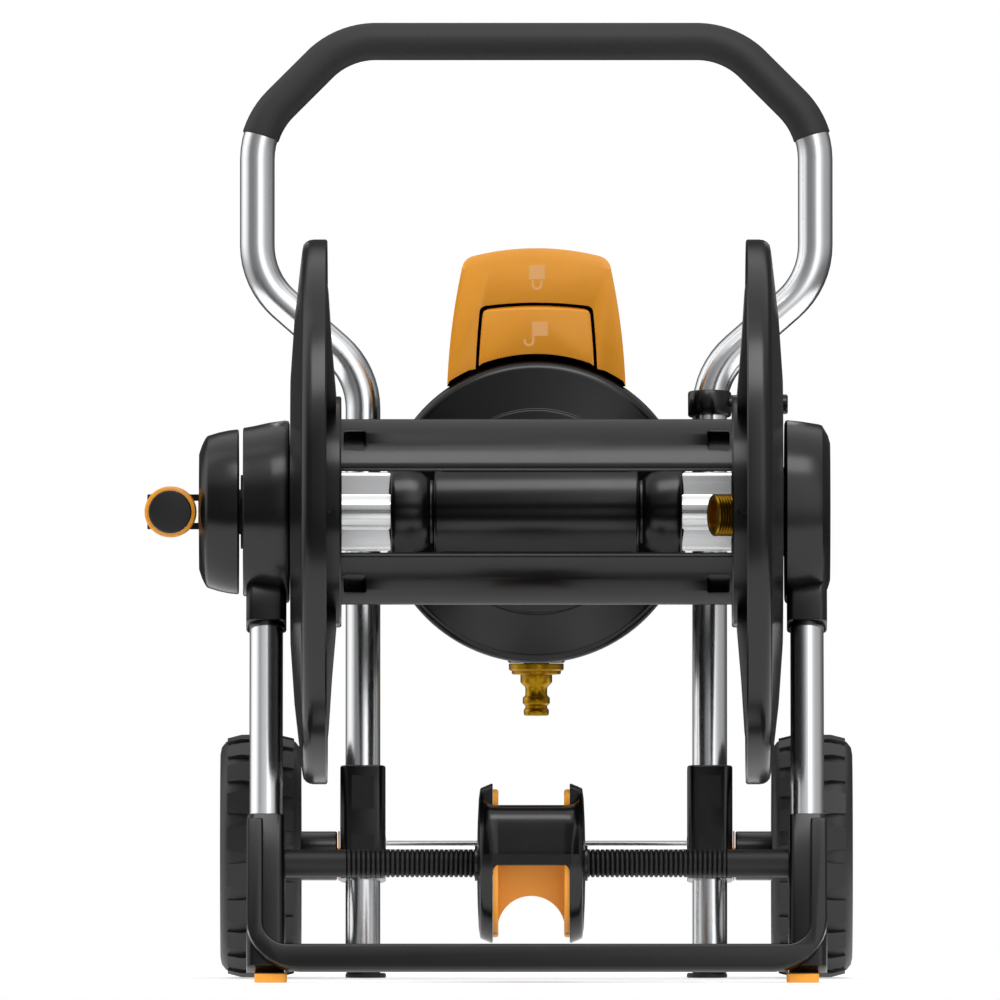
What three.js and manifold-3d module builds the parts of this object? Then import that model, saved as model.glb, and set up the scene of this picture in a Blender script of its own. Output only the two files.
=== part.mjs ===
// Garden hose reel cart: a drum on a folding crank, a bent tube handle with two wheels, two front
// legs with a crossbar, a sliding hose guide and a swivel base with the water inlet.
//
// Millimetres. +Z is up, +X is to the right of someone in front of the cart, +Y is to the back.
// The sizes are taken from the middle plane (x = 0), the drum's axle (y = 0) and the ground
// (z = 0). At the end the whole cart is moved, so that its origin is the middle of its box, on
// the ground.

import * as THREE from 'three';
import { mergeVertices } from 'three/addons/utils/BufferGeometryUtils.js';
import Module from 'manifold-3d';

const wasm = await Module();
wasm.setup();

const { PI, acos, ceil, cos, floor, sin, sqrt, tan } = Math;
const degrees = (angle) => (angle * PI) / 180;

// ---------------------------------------------------------------- driving sizes

// Stance
const HUB_Z = 292; // drum axle above the ground
const AXLE_Y = 192; // wheel axle behind the drum axle
const HANDLE_LEAN = degrees(7); // the handle leans back
const LEG_LEAN = degrees(20); // the legs reach forward from the drum axle

// Gaps
const SEAT = 0.3; // between pieces that touch
const RUN = 0.35; // round a pin or a shaft that turns
const FREE = 1; // beside a piece that sweeps past

// Handle tube
const TUBE_D = 21.8;
const TUBE_WALL = 1.2;
const TUBE_X = 108.75; // lower tubes from the middle plane
const HANDLE_X = 175.2; // upper tubes from the middle plane
const SPREAD_LOW_Z = 379; // where the tubes start to spread
const SPREAD_HIGH_Z = 437;
const HANDLE_TOP_Z = 587.5;
const SHOULDER_DROP = 53.7; // the shoulders below the top
const SHOULDER_Z = HANDLE_TOP_Z - SHOULDER_DROP;
const HANDLE_TOP_X = 121.6;
const HANDLE_BEND = 50; // bend radius
const GRIP_WALL = 0.75;
const GRIP_DROP = 60.5; // the grip's ends below the top
const GRIP_LOW_Z = HANDLE_TOP_Z - GRIP_DROP;

// Wheels and their axle
const WHEEL_R = 76.25;
const WHEEL_X = 147; // inner face of the tyre
const TYRE_W = 51.4;
const TYRE_BEVEL = 6;
const LUG_H = 2.6;
const LUG_PITCH = 59;
const LUG_W = 21;
const RIM_R = 56;
const RIM_WALL = 5;
const RIM_LIP = 5; // how far the rim stands back from the tyre's faces
const WEB_T = 5;
const SPOKE_W = 13;
const SPOKES = 6;
const WHEEL_HUB_R = 15.5;
const AXLE_D = 10;
const AXLE_CAP_R = 9;
const AXLE_CAP_L = 7;
const CROSS_TUBE_D = 19;
const CROSS_TUBE_WALL = 1.5;
const WASHER_T = 1;

// Axle brackets and foot caps on the handle tube
const BRACKET_W = 28.4;
const BRACKET_DEPTH = 30;
const BRACKET_LOW_Z = 60.6;
const BRACKET_HIGH_Z = 131.9;
const BRACKET_CORNER = 6;
const SPIGOT_L = 9;
const FOOT_CAP_D = 25.4;
const FOOT_CAP_T = 3;
const FOOT_CAP_OFFSET = 1.8;
const FOOT_PLUG_L = 14;

// Beam
const BEAM_Y = 195.5; // middle of its flat part
const BEAM_DEPTH = 17;
const BEAM_H = 50;
const BEAM_HALF = 152;
const BEAM_WALL = 2;
const RIDGE_R = 10.3;
const RIDGE_Y = 191;
const PIPE_D = 11;
const PIPE_WALL = 1.5;
const PIPE_BEND = 14;
const CLAMP_W = 26;
const CLAMP_H = 40;
const CLAMP_WALL = 4;

// Swivel housing, turntable and inlet
const SWIVEL_R = 95;
const SWIVEL_BEVEL = 4.4;
const SWIVEL_FACE_Y = 186;
const SWIVEL_BACK_Y = 212;
const BOSS_R = 64;
const BOSS_H = 2;
const BARREL_R = 36;
const BARREL_Y = 210;
const BARREL_X = 65;
const NECK_R = 31;
const NECK_X = 91.5;
const TURN_R = 93;
const TURN_WALL = 4.5;
const TURN_RIM_T = 20; // the thick rim with the notches
const TURN_RIM_DEPTH = 9;
const TURN_BACK_Y = 271;
const NOTCHES = 8;
const NOTCH_DEPTH = 7;
const SPINDLE_R = 12;
const SPINDLE_HEAD_R = 18;
const SPINDLE_HEAD_T = 3;
const INLET_Y = 252;
const INLET_BOSS_R = 18;
const INLET_R = 95.2; // from the swivel's centre to the nipple's collar
const INLET_STEM_R = 8;
const INLET_BORE_R = 4.5;

// Swivel lock
const PEDAL_Y = 189.5;
const PEDAL_T = 10;
const PEDAL_TOP_Z = 457.5;
const PEDAL_HALF_W = 56.2;
const PEDAL_TOP_HALF_W = 46.9;
const PEDAL_CROWN = 4.5; // fall of the crowned top at its corners
const TAB_TOP_Z = 421.3;
const TAB_HALF_W = 36.8;
const TAB_TOP_HALF_W = 33.8;
const TAB_CROWN = 2;
const TAB_GAP = 2.8;
const TAB_LIFT = 4;
const LOCK_PIN_Y = 206;
const LOCK_PIN_Z = 399;
const LOCK_PIN_R = 2.5;
const EAR_X = 42;
const EAR_W = 5;
const LUG_HALF_W = 9;
const LUG_TOP_Z = 420;
const SHIELD_HALF_W = 44;
const SHIELD_TOP_Z = 427;
const SHIELD_T = 3.5;
const STEM_R = 4;
const STEM_L = 15;
const BOLT_W = 8;
const BOLT_T = 6.5;
const BOLT_L = 18;
const BOLT_Y = 224;

// Accessory peg
const PEG_R = 6.2;
const PEG_Z = 359.5;
const PEG_END_X = 158;
const PEG_CLAMP_WALL = 2.4;

// Bearing housings and side arms
const HOUSING_X = 154.4; // inner face
const HOUSING_OUT_X = 183;
const HOUSING_R = 57;
const HOUSING_OUT_R = 53;
const HOUSING_WALL = 4;
const JOURNAL_R = 23;
const BUSH_WALL = 3.6;
const ARM_IN_X = 156.4;
const ARM_OUT_X = 180;
const ARM_H = 66;
const ARM_BACK_Y = 208;
const SOCKET_WALL = 3;
const NOZZLE_R = 6.5;
const NOZZLE_L = 12;

// Legs
const LEG_X = 168.2;
const LEG_D = 20.8;
const LEG_WALL = 1.2;
const CLIP_W = 25;
const CLIP_DEPTH = 27;
const CLIP_CORNER = 4;
const CLIP_LOW = 79; // from the drum axle, along the leg
const SOCKET_W = 24;
const SOCKET_DEPTH = 25;
const SOCKET_TOP = 203.3;
const LEG_END = 270;
const FOOT_PAD_T = 5.6;
const FOOT_PAD_W = 20.3;
const FOOT_PAD_L = 25;
const FOOT_PAD_X = 165.1;
const BAR_OUT_X = 180.2;
const BAR_W = 10.3;
const BAR_DEPTH = 9;
const BAR_H = 16.9;
const BAR_TOP = 209.4; // along the leg, as is the next
const BAR_LOW = 309.2; // lower edge of the crossbar, from the drum axle, along the leg
const BAR_OUT_R = 33;
const BAR_IN_R = 15;

// Guide bar and hose guide
const GUIDE_Z = 73.75;
const GUIDE_BAR_R = 8.75;
const GUIDE_ROOT_R = 7.6;
const RIB_PITCH = 12.12;
const RIBBED_HALF = 118;
const GUIDE_X = -3.4; // where the hose guide stands at rest
const CHEEK_R = 49.5;
const CHEEK_T = 9.9;
const CHEEK_IN = 23.9; // half the clear width between the cheeks
const SADDLE_R = 35.7;
const SADDLE_WALL = 9;
const SADDLE_LOW_Z = 72.4;
const COLLAR_R = 13;
const COLLAR_L = 3.8;
const LINER_R = 46;
const LINER_WALL = 3.4;
const LINER_BACK_Y = 12; // back wall in front of the bar's axis
const MOUTH_R = 21;
const MOUTH_TOP_Z = 53.6;
const MOUTH_LOW_Z = 27.4;

// Drum
const FLANGE_R = 169.7;
const RIM_IN_X = 130.3;
const RIM_OUT_X = 145.9;
const FLANGE_OUT_X = 153.4; // outer face near the axle
const FLANGE_SKIN = 3.5;
const FLANGE_RIM_WALL = 5;
const FLANGE_HUB_R = 28;
const FLANGE_HUB_X = 136; // inner end of the hub
const FLANGE_CUP_R = 72;
const FLANGE_CUP_X = 121.5;
const RIBS = 6;
const RIB_T = 2.4;
const DRUM_BAR_R = 64.4;
const DRUM_BAR_T = 6.4;
const DRUM_BAR_SPREAD = degrees(38.4);
const DRUM_BARS = 4;
const WINDOW_X = 113.2;
const WINDOW_L = 13.2;
const WINDOW_W = 10;
const CONNECTOR_TILT = degrees(18);
const CONNECTOR_R = 13.2;
const CONNECTOR_ROOT_R = 12;
const CONNECTOR_BORE_R = 9.5;
const CONNECTOR_L = 15;
const CONNECTOR_THREADS = 4;
const CONNECTOR_NECK_R = 10;
const CONNECTOR_NECK_L = 9;
const CONNECTOR_END_X = 111;
const CONNECTOR_Z = 290;
const SPIGOT_BORE_R = 5;
const SEAL_T = 3;
const BOSS_L = 12;
const STUB_R = 14;

// Crank
const CRANK_X = 185.3; // inner face of the disc
const CRANK_OUT_X = 210.3;
const CRANK_R = 51.5;
const CRANK_SHOULDER_R = 47;
const CRANK_SHOULDER_X = 205.3;
const CRANK_WALL = 4;
const CRANK_PIN_Y = 95;
const CRANK_PIN_R = 3;
const CRANK_ARM_X = 211;
const CRANK_ARM_T = 17;
const CRANK_ARM_Y = 38;
const CRANK_H = 22;
const EYE_R = 15.2;
const TONGUE_H = 12.8;
const TONGUE_R = 11;
const GRIP_X = 228.1;
const GRIP_R = 15.95;
const GRIP_NEAR = 20; // from the pin
const GRIP_L = 105;
const GRIP_ROD_R = 4.5;
const ROD_HEAD_R = 8.5;
const ROD_HEAD_T = 4;
const END_CAP_R = 13.4;
const END_CAP_T = 6;

// Facets
const ROUND = 16; // sides of a middling round piece
const LARGE = 28; // and of a large one
const TUBE_SIDES = 8;
const GUIDE_SIDES = 8;
const THREAD_SIDES = 12;
const BEND_STEP = degrees(22.5);

// ---------------------------------------------------------------- finishes

function finish(color, roughness, metalness = 0) {
  return new THREE.MeshStandardMaterial({ color, roughness, metalness });
}

const brightMetal = finish('#d4d6d8', 0.22, 1);
const steel = finish('#a9abae', 0.35, 1);
const brass = finish('#8a6a17', 0.4, 1);
const glossBlack = finish('#1d1d1e', 0.3);
const mattBlack = finish('#232324', 0.6);
const tyreBlack = finish('#1a1a1b', 0.45);
const orange = finish('#d9902c', 0.45);

// ---------------------------------------------------------------- shaping

// A closed three.js geometry as a solid that can be joined to others and cut. Its shared corners
// are merged, and a mirrored geometry gets its faces turned out again.
function solid(geometry) {
  const plain = new THREE.BufferGeometry();
  plain.setAttribute('position', geometry.getAttribute('position').clone());
  if (geometry.getIndex()) plain.setIndex(geometry.getIndex().clone());
  const merged = mergeVertices(plain);
  const index = merged.getIndex().array;
  const forward = [];
  const backward = [];
  for (let i = 0; i < index.length; i += 3) {
    const [a, b, c] = [index[i], index[i + 1], index[i + 2]];
    if (a === b || b === c || c === a) continue;
    forward.push(a, b, c);
    backward.push(a, c, b);
  }
  const vertProperties = new Float32Array(merged.getAttribute('position').array);
  const build = (corners) =>
    new wasm.Manifold(
      new wasm.Mesh({ numProp: 3, vertProperties, triVerts: new Uint32Array(corners) }),
    );
  const made = build(forward);
  return made.volume() > 0 ? made : build(backward);
}

function geometryOf(body) {
  const data = body.getMesh();
  const geometry = new THREE.BufferGeometry();
  geometry.setAttribute('position', new THREE.BufferAttribute(data.vertProperties.slice(), 3));
  geometry.setIndex(new THREE.BufferAttribute(data.triVerts.slice(), 1));
  return geometry;
}

const join = (...bodies) => bodies.reduce((whole, body) => whole.add(body));
const cut = (body, ...tools) => tools.reduce((rest, tool) => rest.subtract(tool), body);
const mirrored = (body) => solid(geometryOf(body).scale(-1, 1, 1));

// Everything that can be placed is a geometry, so these work before solid().
function box(x0, x1, y0, y1, z0, z1) {
  const geometry = new THREE.BoxGeometry(x1 - x0, y1 - y0, z1 - z0);
  return geometry.translate((x0 + x1) / 2, (y0 + y1) / 2, (z0 + z1) / 2);
}

// A body turned about Z from [radius, height] points. An outline off the axis is closed.
function turned(outline, sides = ROUND) {
  const points = outline.map(([radius, height]) => new THREE.Vector2(radius, height));
  if (outline[0][0] > 0) points.push(points[0].clone());
  return new THREE.LatheGeometry(points, sides).rotateX(PI / 2);
}

const alongX = (geometry) => geometry.rotateY(PI / 2);
const alongY = (geometry) => geometry.rotateX(-PI / 2);

function disc(radius, low, high, sides = ROUND) {
  return turned([[0, low], [radius, low], [radius, high], [0, high]], sides);
}

// The radius of a bore whose flats clear a round piece that turns in it.
const turning = (radius, sides = ROUND) => (radius + RUN) / cos(PI / sides);

function ring(outer, inner, low, high, sides = ROUND) {
  return turned([[inner, low], [outer, low], [outer, high], [inner, high]], sides);
}

function roundedRectangle(width, height, corner) {
  const [w, h, r] = [width / 2, height / 2, corner];
  const shape = new THREE.Shape();
  shape.moveTo(w - r, -h);
  shape.absarc(w - r, -h + r, r, -PI / 2, 0);
  shape.absarc(w - r, h - r, r, 0, PI / 2);
  shape.absarc(-w + r, h - r, r, PI / 2, PI);
  shape.absarc(-w + r, -h + r, r, PI, 1.5 * PI);
  return shape;
}

function outlineOf(points) {
  return new THREE.Shape(points.map(([x, y]) => new THREE.Vector2(x, y)));
}

// A flat outline raised along Z.
function raised(shape, low, high, curveSegments = 2) {
  const settings = { depth: high - low, bevelEnabled: false, curveSegments };
  return new THREE.ExtrudeGeometry(shape, settings).translate(0, 0, low);
}

// Straight runs joined by round bends. A station stands at each end of a run and at every
// BEND_STEP round a bend, so that a straight run stays one long facet.
class BentPath extends THREE.Curve {
  constructor(corners, radius) {
    super();
    this.points = [corners[0]];
    this.tangents = [corners[1].clone().sub(corners[0]).normalize()];
    for (let i = 1; i < corners.length - 1; i++) {
      this.addBend(corners[i - 1], corners[i], corners[i + 1], radius);
    }
    const [before, last] = corners.slice(-2);
    this.points.push(last);
    this.tangents.push(last.clone().sub(before).normalize());
  }

  addBend(before, corner, after, radius) {
    const into = corner.clone().sub(before).normalize();
    const out = after.clone().sub(corner).normalize();
    const turn = acos(into.dot(out));
    const start = corner.clone().addScaledVector(into, -radius * tan(turn / 2));
    const inward = out.clone().addScaledVector(into, -into.dot(out)).normalize();
    const centre = start.clone().addScaledVector(inward, radius);
    const steps = ceil(turn / BEND_STEP - 0.01);
    for (let k = 0; k <= steps; k++) {
      const angle = (turn * k) / steps;
      const point = centre.clone().addScaledVector(inward, -radius * cos(angle));
      this.points.push(point.addScaledVector(into, radius * sin(angle)));
      const tangent = into.clone().multiplyScalar(cos(angle));
      this.tangents.push(tangent.addScaledVector(inward, sin(angle)));
    }
  }

  station(u) {
    return Math.round(u * (this.points.length - 1));
  }

  getPointAt(u, target = new THREE.Vector3()) {
    return target.copy(this.points[this.station(u)]);
  }

  getTangentAt(u, target = new THREE.Vector3()) {
    return target.copy(this.tangents[this.station(u)]);
  }
}

// A round tube or, without a bore, a rod along a bent path.
function bentTube(path, outer, inner = 0, sides = TUBE_SIDES) {
  const round = (radius) =>
    Array.from({ length: sides }, (_, k) => {
      const angle = (2 * PI * k) / sides;
      return new THREE.Vector2(radius * cos(angle), radius * sin(angle));
    });
  const shape = new THREE.Shape(round(outer));
  if (inner) shape.holes.push(new THREE.Path(round(inner)));
  return new THREE.ExtrudeGeometry(shape, { steps: path.points.length - 1, extrudePath: path });
}

// ---------------------------------------------------------------- the cart

const cart = new THREE.Group();

function part(name, body, material) {
  const geometry = geometryOf(body);
  geometry.computeVertexNormals();
  const mesh = new THREE.Mesh(geometry, material);
  mesh.name = name;
  cart.add(mesh);
}

// A piece of the right side and its mirror image on the left.
function pair(name, body, material) {
  part(`${name}_right`, body, material);
  part(`${name}_left`, mirrored(body), material);
}

// ---------------------------------------------------------------- handle tube

const AXLE_Z = WHEEL_R; // the wheels stand on the ground
const handleY = (z) => AXLE_Y + (z - AXLE_Z) * tan(HANDLE_LEAN);
const onHandle = (x, z) => new THREE.Vector3(x, handleY(z), z);
const tubeR = TUBE_D / 2;
const tubeBore = tubeR - TUBE_WALL;

// Raises a body that stands on the ground plane along the leaning tube through (x, height).
function leaned(geometry, x, z) {
  return geometry.rotateX(-HANDLE_LEAN).translate(x, handleY(z), z);
}

const handleHalf = [
  [TUBE_X, -TUBE_D],
  [TUBE_X, SPREAD_LOW_Z],
  [HANDLE_X, SPREAD_HIGH_Z],
  [HANDLE_X, SHOULDER_Z],
  [HANDLE_TOP_X, HANDLE_TOP_Z],
];
const handleCorners = [
  ...handleHalf.map(([x, z]) => onHandle(x, z)),
  ...handleHalf.map(([x, z]) => onHandle(-x, z)).reverse(),
];
const axleHole = (radius) => solid(alongX(disc(radius, -WHEEL_X, WHEEL_X)).translate(0, AXLE_Y, AXLE_Z));
const belowFoot = solid(box(-HANDLE_X, HANDLE_X, 0, 2 * AXLE_Y, -2 * TUBE_D, FOOT_CAP_T + SEAT));

const handlePath = new BentPath(handleCorners, HANDLE_BEND);
const handleTube = solid(bentTube(handlePath, tubeR, tubeBore));
const tubeSpace = solid(bentTube(handlePath, tubeR + SEAT)); // what a clamp on it leaves free
part('handle_tube', cut(handleTube, belowFoot, axleHole(AXLE_D / 2 + SEAT)), brightMetal);

const gripBore = tubeR + SEAT;
const gripStartZ = GRIP_LOW_Z - 3 * GRIP_WALL - TUBE_D;
const gripCorners = [onHandle(HANDLE_X, gripStartZ), ...handleCorners.slice(3, -3)];
gripCorners.push(onHandle(-HANDLE_X, gripStartZ));
const gripSleeve = solid(
  bentTube(new BentPath(gripCorners, HANDLE_BEND), gripBore + GRIP_WALL, gripBore),
);
const belowGrip = solid(box(-HANDLE_X - TUBE_D, HANDLE_X + TUBE_D, 0, 2 * AXLE_Y, 0, GRIP_LOW_Z));
part('handle_grip', cut(gripSleeve, belowGrip), mattBlack);

// Foot cap: a flat disc on the ground with a plug in the tube.
const footPlug = solid(
  leaned(disc(tubeBore - SEAT, 0, FOOT_PLUG_L, TUBE_SIDES), TUBE_X, FOOT_CAP_T / 2),
);
const footDisc = solid(
  disc(FOOT_CAP_D / 2, 0, FOOT_CAP_T).translate(TUBE_X - FOOT_CAP_OFFSET, handleY(0), 0),
);
pair('foot_cap', join(footDisc, footPlug), mattBlack);

// ---------------------------------------------------------------- axle and wheels

// Axle bracket: a moulded sleeve on the tube. The wheel axle passes through it, and its spigot
// holds the end of the cross tube.
const bracketSpan = (BRACKET_HIGH_Z - BRACKET_LOW_Z) / 2;
const bracketMidZ = (BRACKET_HIGH_Z + BRACKET_LOW_Z) / 2;
const bracketInnerX = TUBE_X - BRACKET_W / 2;
const bracketOuterX = TUBE_X + BRACKET_W / 2;
const bracketBlock = solid(
  leaned(
    raised(roundedRectangle(BRACKET_W, BRACKET_DEPTH, BRACKET_CORNER), -bracketSpan, bracketSpan),
    TUBE_X,
    bracketMidZ,
  ),
);
const spigotR = CROSS_TUBE_D / 2 - CROSS_TUBE_WALL - SEAT;
const bracketSpigot = solid(
  alongX(ring(spigotR, AXLE_D / 2 + SEAT, bracketInnerX - SPIGOT_L, bracketInnerX + SEAT))
    .translate(0, AXLE_Y, AXLE_Z),
);
pair(
  'axle_bracket',
  cut(join(bracketBlock, bracketSpigot), tubeSpace, axleHole(AXLE_D / 2 + SEAT)),
  glossBlack,
);

const crossTubeX = bracketInnerX - SEAT;
const crossTube = ring(CROSS_TUBE_D / 2, CROSS_TUBE_D / 2 - CROSS_TUBE_WALL, -crossTubeX, crossTubeX);
part('axle_cross_tube', solid(alongX(crossTube).translate(0, AXLE_Y, AXLE_Z)), brightMetal);

const onAxle = (geometry) => solid(alongX(geometry).translate(0, AXLE_Y, AXLE_Z));

const washerX = bracketOuterX + SEAT;
pair('thrust_washer', onAxle(ring(WHEEL_HUB_R, turning(AXLE_D / 2), washerX, washerX + WASHER_T)), orange);

// Wheel rim: a long hub, a web with windows between its spokes, and the ring under the tyre.
const hubX = washerX + WASHER_T + RUN;
const rimInX = WHEEL_X + RIM_LIP;
const rimOutX = WHEEL_X + TYRE_W - RIM_LIP;
const webX = (rimInX + rimOutX) / 2;
const hubOutX = rimOutX - AXLE_CAP_L;
const wheelHub = onAxle(ring(WHEEL_HUB_R, turning(AXLE_D / 2), hubX, hubOutX));
const rimRing = onAxle(ring(RIM_R, RIM_R - RIM_WALL, rimInX, rimOutX, LARGE));
const web = onAxle(
  ring(RIM_R - RIM_WALL / 2, WHEEL_HUB_R - RIM_WALL, webX - WEB_T / 2, webX + WEB_T / 2),
);

function webWindow(k) {
  const inner = WHEEL_HUB_R + RIM_WALL;
  const outer = RIM_R - 2 * RIM_WALL;
  const half = (radius) => PI / SPOKES - SPOKE_W / 2 / radius;
  const middle = (2 * PI * (k + 0.5)) / SPOKES;
  const shape = new THREE.Shape();
  shape.absarc(0, 0, outer, middle - half(outer), middle + half(outer));
  shape.absarc(0, 0, inner, middle + half(inner), middle - half(inner), true);
  return onAxle(raised(shape, webX - WEB_T, webX + WEB_T, 3));
}

const webWindows = Array.from({ length: SPOKES }, (_, k) => webWindow(k));
pair('wheel_rim', cut(join(wheelHub, rimRing, web), ...webWindows), glossBlack);

// Tyre: a bevelled ring with two staggered rows of lugs.
const treadR = WHEEL_R - LUG_H;
const tyreIn = WHEEL_X;
const tyreOut = WHEEL_X + TYRE_W;
const tyreBody = onAxle(
  turned(
    [
      [RIM_R + SEAT, tyreIn + RIM_LIP],
      [RIM_R + RIM_LIP, tyreIn],
      [treadR - TYRE_BEVEL, tyreIn],
      [treadR, tyreIn + TYRE_BEVEL],
      [treadR, tyreOut - TYRE_BEVEL],
      [treadR - TYRE_BEVEL, tyreOut],
      [RIM_R + RIM_LIP, tyreOut],
      [RIM_R + SEAT, tyreOut - RIM_LIP],
    ],
    LARGE,
  ),
);
const lugCount = 4 * floor((2 * PI * WHEEL_R) / LUG_PITCH / 4);

function lug(k, row) {
  const angle = (2 * PI * (k + row / 2)) / lugCount;
  const length = (LUG_PITCH * 2) / 3;
  const near = webX + (row ? FREE : -FREE - LUG_W);
  const foot = treadR - LUG_H;
  const crown = sqrt(WHEEL_R ** 2 - (length / 2) ** 2);
  const shape = outlineOf([
    [-length / 2, foot],
    [length / 2, foot],
    [length / 2, crown],
    [0, WHEEL_R],
    [-length / 2, crown],
  ]);
  return onAxle(raised(shape, near, near + LUG_W).rotateZ(angle - PI / 2));
}

const lugs = [0, 1].flatMap((row) => Array.from({ length: lugCount }, (_, k) => lug(k, row)));
pair('wheel_tyre', join(tyreBody, ...lugs), tyreBlack);

// Axle rod with a push-on cap in the recess of each wheel.
const capX = hubOutX + RUN;
const rodEndX = capX + AXLE_CAP_L / 2;
part('axle_rod', onAxle(disc(AXLE_D / 2, -rodEndX, rodEndX, TUBE_SIDES)), steel);
const axleCap = turned([
  [AXLE_D / 2 + SEAT, capX],
  [AXLE_CAP_R, capX],
  [AXLE_CAP_R, capX + AXLE_CAP_L / 2],
  [AXLE_CAP_R / 2, capX + AXLE_CAP_L],
  [0, capX + AXLE_CAP_L],
  [0, rodEndX + SEAT],
  [AXLE_D / 2 + SEAT, rodEndX + SEAT],
]);
pair('axle_cap', onAxle(axleCap), mattBlack);

// ---------------------------------------------------------------- beam and side frames

// Beam: an extruded bar, hollow, with a round ridge along its front that holds the water pipe.
const beamFrontY = BEAM_Y - BEAM_DEPTH / 2;
const beamBackY = BEAM_Y + BEAM_DEPTH / 2;
const ridgeBore = RIDGE_R - BEAM_WALL;
const alongHub = (geometry, y = 0) => alongX(geometry).translate(0, y, HUB_Z);
const beamLow = HUB_Z - BEAM_H / 2;
const beamHigh = HUB_Z + BEAM_H / 2;
const chamberY = [beamFrontY + BEAM_WALL, beamBackY - BEAM_WALL];
const beamBody = join(
  solid(box(-BEAM_HALF, BEAM_HALF, beamFrontY, beamBackY, beamLow, beamHigh)),
  solid(alongHub(disc(RIDGE_R, -BEAM_HALF, BEAM_HALF), RIDGE_Y)),
);
const chamberNear = HUB_Z + RIDGE_R + BEAM_WALL;
const chamberFar = beamHigh - BEAM_WALL;
const beamEnds = [-BEAM_HALF - FREE, BEAM_HALF + FREE];
part(
  'beam',
  cut(
    beamBody,
    solid(alongHub(disc(ridgeBore, ...beamEnds), RIDGE_Y)),
    solid(box(...beamEnds, ...chamberY, chamberNear, chamberFar)),
    solid(box(...beamEnds, ...chamberY, 2 * HUB_Z - chamberFar, 2 * HUB_Z - chamberNear)),
  ),
  brightMetal,
);

// The space that the beam needs in a piece that holds it.
function beamSpace(half) {
  const gap = SEAT;
  return join(
    solid(box(-half, half, beamFrontY - gap, beamBackY + gap, beamLow - gap, beamHigh + gap)),
    solid(alongHub(disc(RIDGE_R + gap, -half, half), RIDGE_Y)),
  );
}

// Bearing housing: a domed cup at the drum's end with a collar for the bush, and the arm that
// runs back from it to a socket on the beam's end.
function housingOutline(gap) {
  return [
    [0, HOUSING_X],
    [HOUSING_R + gap, HOUSING_X],
    [HOUSING_OUT_R + gap, HOUSING_OUT_X - HOUSING_WALL],
    [HOUSING_OUT_R - HOUSING_WALL + gap, HOUSING_OUT_X],
    [0, HOUSING_OUT_X],
  ];
}

const bushR = turning(JOURNAL_R) + BUSH_WALL;
const collarR = bushR + SEAT + HOUSING_WALL;
const floorX = HOUSING_OUT_X - 2 * HOUSING_WALL; // inner side of the cup's end wall
const bushEndX = floorX - SEAT;
const armMidX = (ARM_IN_X + ARM_OUT_X) / 2;

const armOutline = outlineOf([
  [0, HUB_Z - ARM_H / 2],
  [ARM_BACK_Y, beamLow - SOCKET_WALL - SEAT],
  [ARM_BACK_Y, beamHigh + SOCKET_WALL + SEAT],
  [0, HUB_Z + ARM_H / 2],
]);
// The arm's outline lies in the y-z plane, so it is raised along Z and stood up to X.
const standOnX = (geometry) => geometry.rotateX(PI / 2).rotateZ(PI / 2);
const socketFrontY = RIDGE_Y - RIDGE_R - SEAT - SOCKET_WALL;
const socketInX = RIM_OUT_X + FREE;

// Water pipe: from the swivel along the beam's ridge, then forward through the right arm to a
// socket in the housing.
const pipePoint = (x, y) => new THREE.Vector3(x, y, HUB_Z);
const pipeEndY = (HOUSING_OUT_R + collarR) / 2;
const pipePath = new BentPath(
  [pipePoint(SPINDLE_R, RIDGE_Y), pipePoint(armMidX, RIDGE_Y), pipePoint(armMidX, pipeEndY)],
  PIPE_BEND,
);
part(
  'water_pipe',
  solid(bentTube(pipePath, PIPE_D / 2, PIPE_D / 2 - PIPE_WALL, TUBE_SIDES)),
  mattBlack,
);

// The socket is a boss between the collar and the cup. A channel in the end wall takes the water
// on from it to the nozzle.
const pipeSocket = solid(
  alongY(disc(PIPE_D / 2 + HOUSING_WALL, bushR + SEAT, HOUSING_OUT_R)).translate(armMidX, 0, HUB_Z),
);
const channelHalf = HOUSING_WALL * 0.75;
const channelX = [floorX + FREE, HOUSING_OUT_X - FREE];
const channelZ = [HUB_Z - channelHalf, HUB_Z + channelHalf];
const waterways = join(
  solid(bentTube(pipePath, PIPE_D / 2 + SEAT, 0, TUBE_SIDES)),
  solid(box(...channelX, -channelHalf, pipeEndY, ...channelZ)),
  solid(box(armMidX, channelX[1], pipeEndY - 2 * channelHalf, pipeEndY + SEAT, ...channelZ)),
  solid(alongHub(disc(SPIGOT_BORE_R, floorX - 2 * NOZZLE_L, channelX[1] - FREE))),
);

function bearingHousing(withNozzle) {
  const cup = solid(alongHub(turned(housingOutline(0))));
  const hollow = solid(
    alongHub(ring(HOUSING_OUT_R - HOUSING_WALL, collarR, HOUSING_X - FREE, floorX)),
  );
  const bushSpace = solid(alongHub(disc(bushR + SEAT, HOUSING_X - FREE, floorX)));
  const arm = solid(standOnX(raised(armOutline, ARM_IN_X, ARM_OUT_X)));
  const clearOfCup = solid(alongHub(disc(HOUSING_OUT_R - HOUSING_WALL, 0, HOUSING_OUT_X)));
  const socket = solid(
    box(
      socketInX,
      ARM_OUT_X,
      socketFrontY,
      ARM_BACK_Y,
      beamLow - SOCKET_WALL - SEAT,
      beamHigh + SOCKET_WALL + SEAT,
    ),
  );
  const shell = cut(join(cup, cut(join(arm, socket), clearOfCup)), hollow, bushSpace);
  const housing = cut(shell, beamSpace(BEAM_HALF + SEAT));
  if (!withNozzle) return cut(housing, solid(alongHub(disc(turning(JOURNAL_R), 0, CRANK_X))));
  const nozzle = solid(alongHub(disc(NOZZLE_R, floorX - NOZZLE_L, floorX + SEAT)));
  return cut(join(housing, pipeSocket, nozzle), waterways);
}

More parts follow.
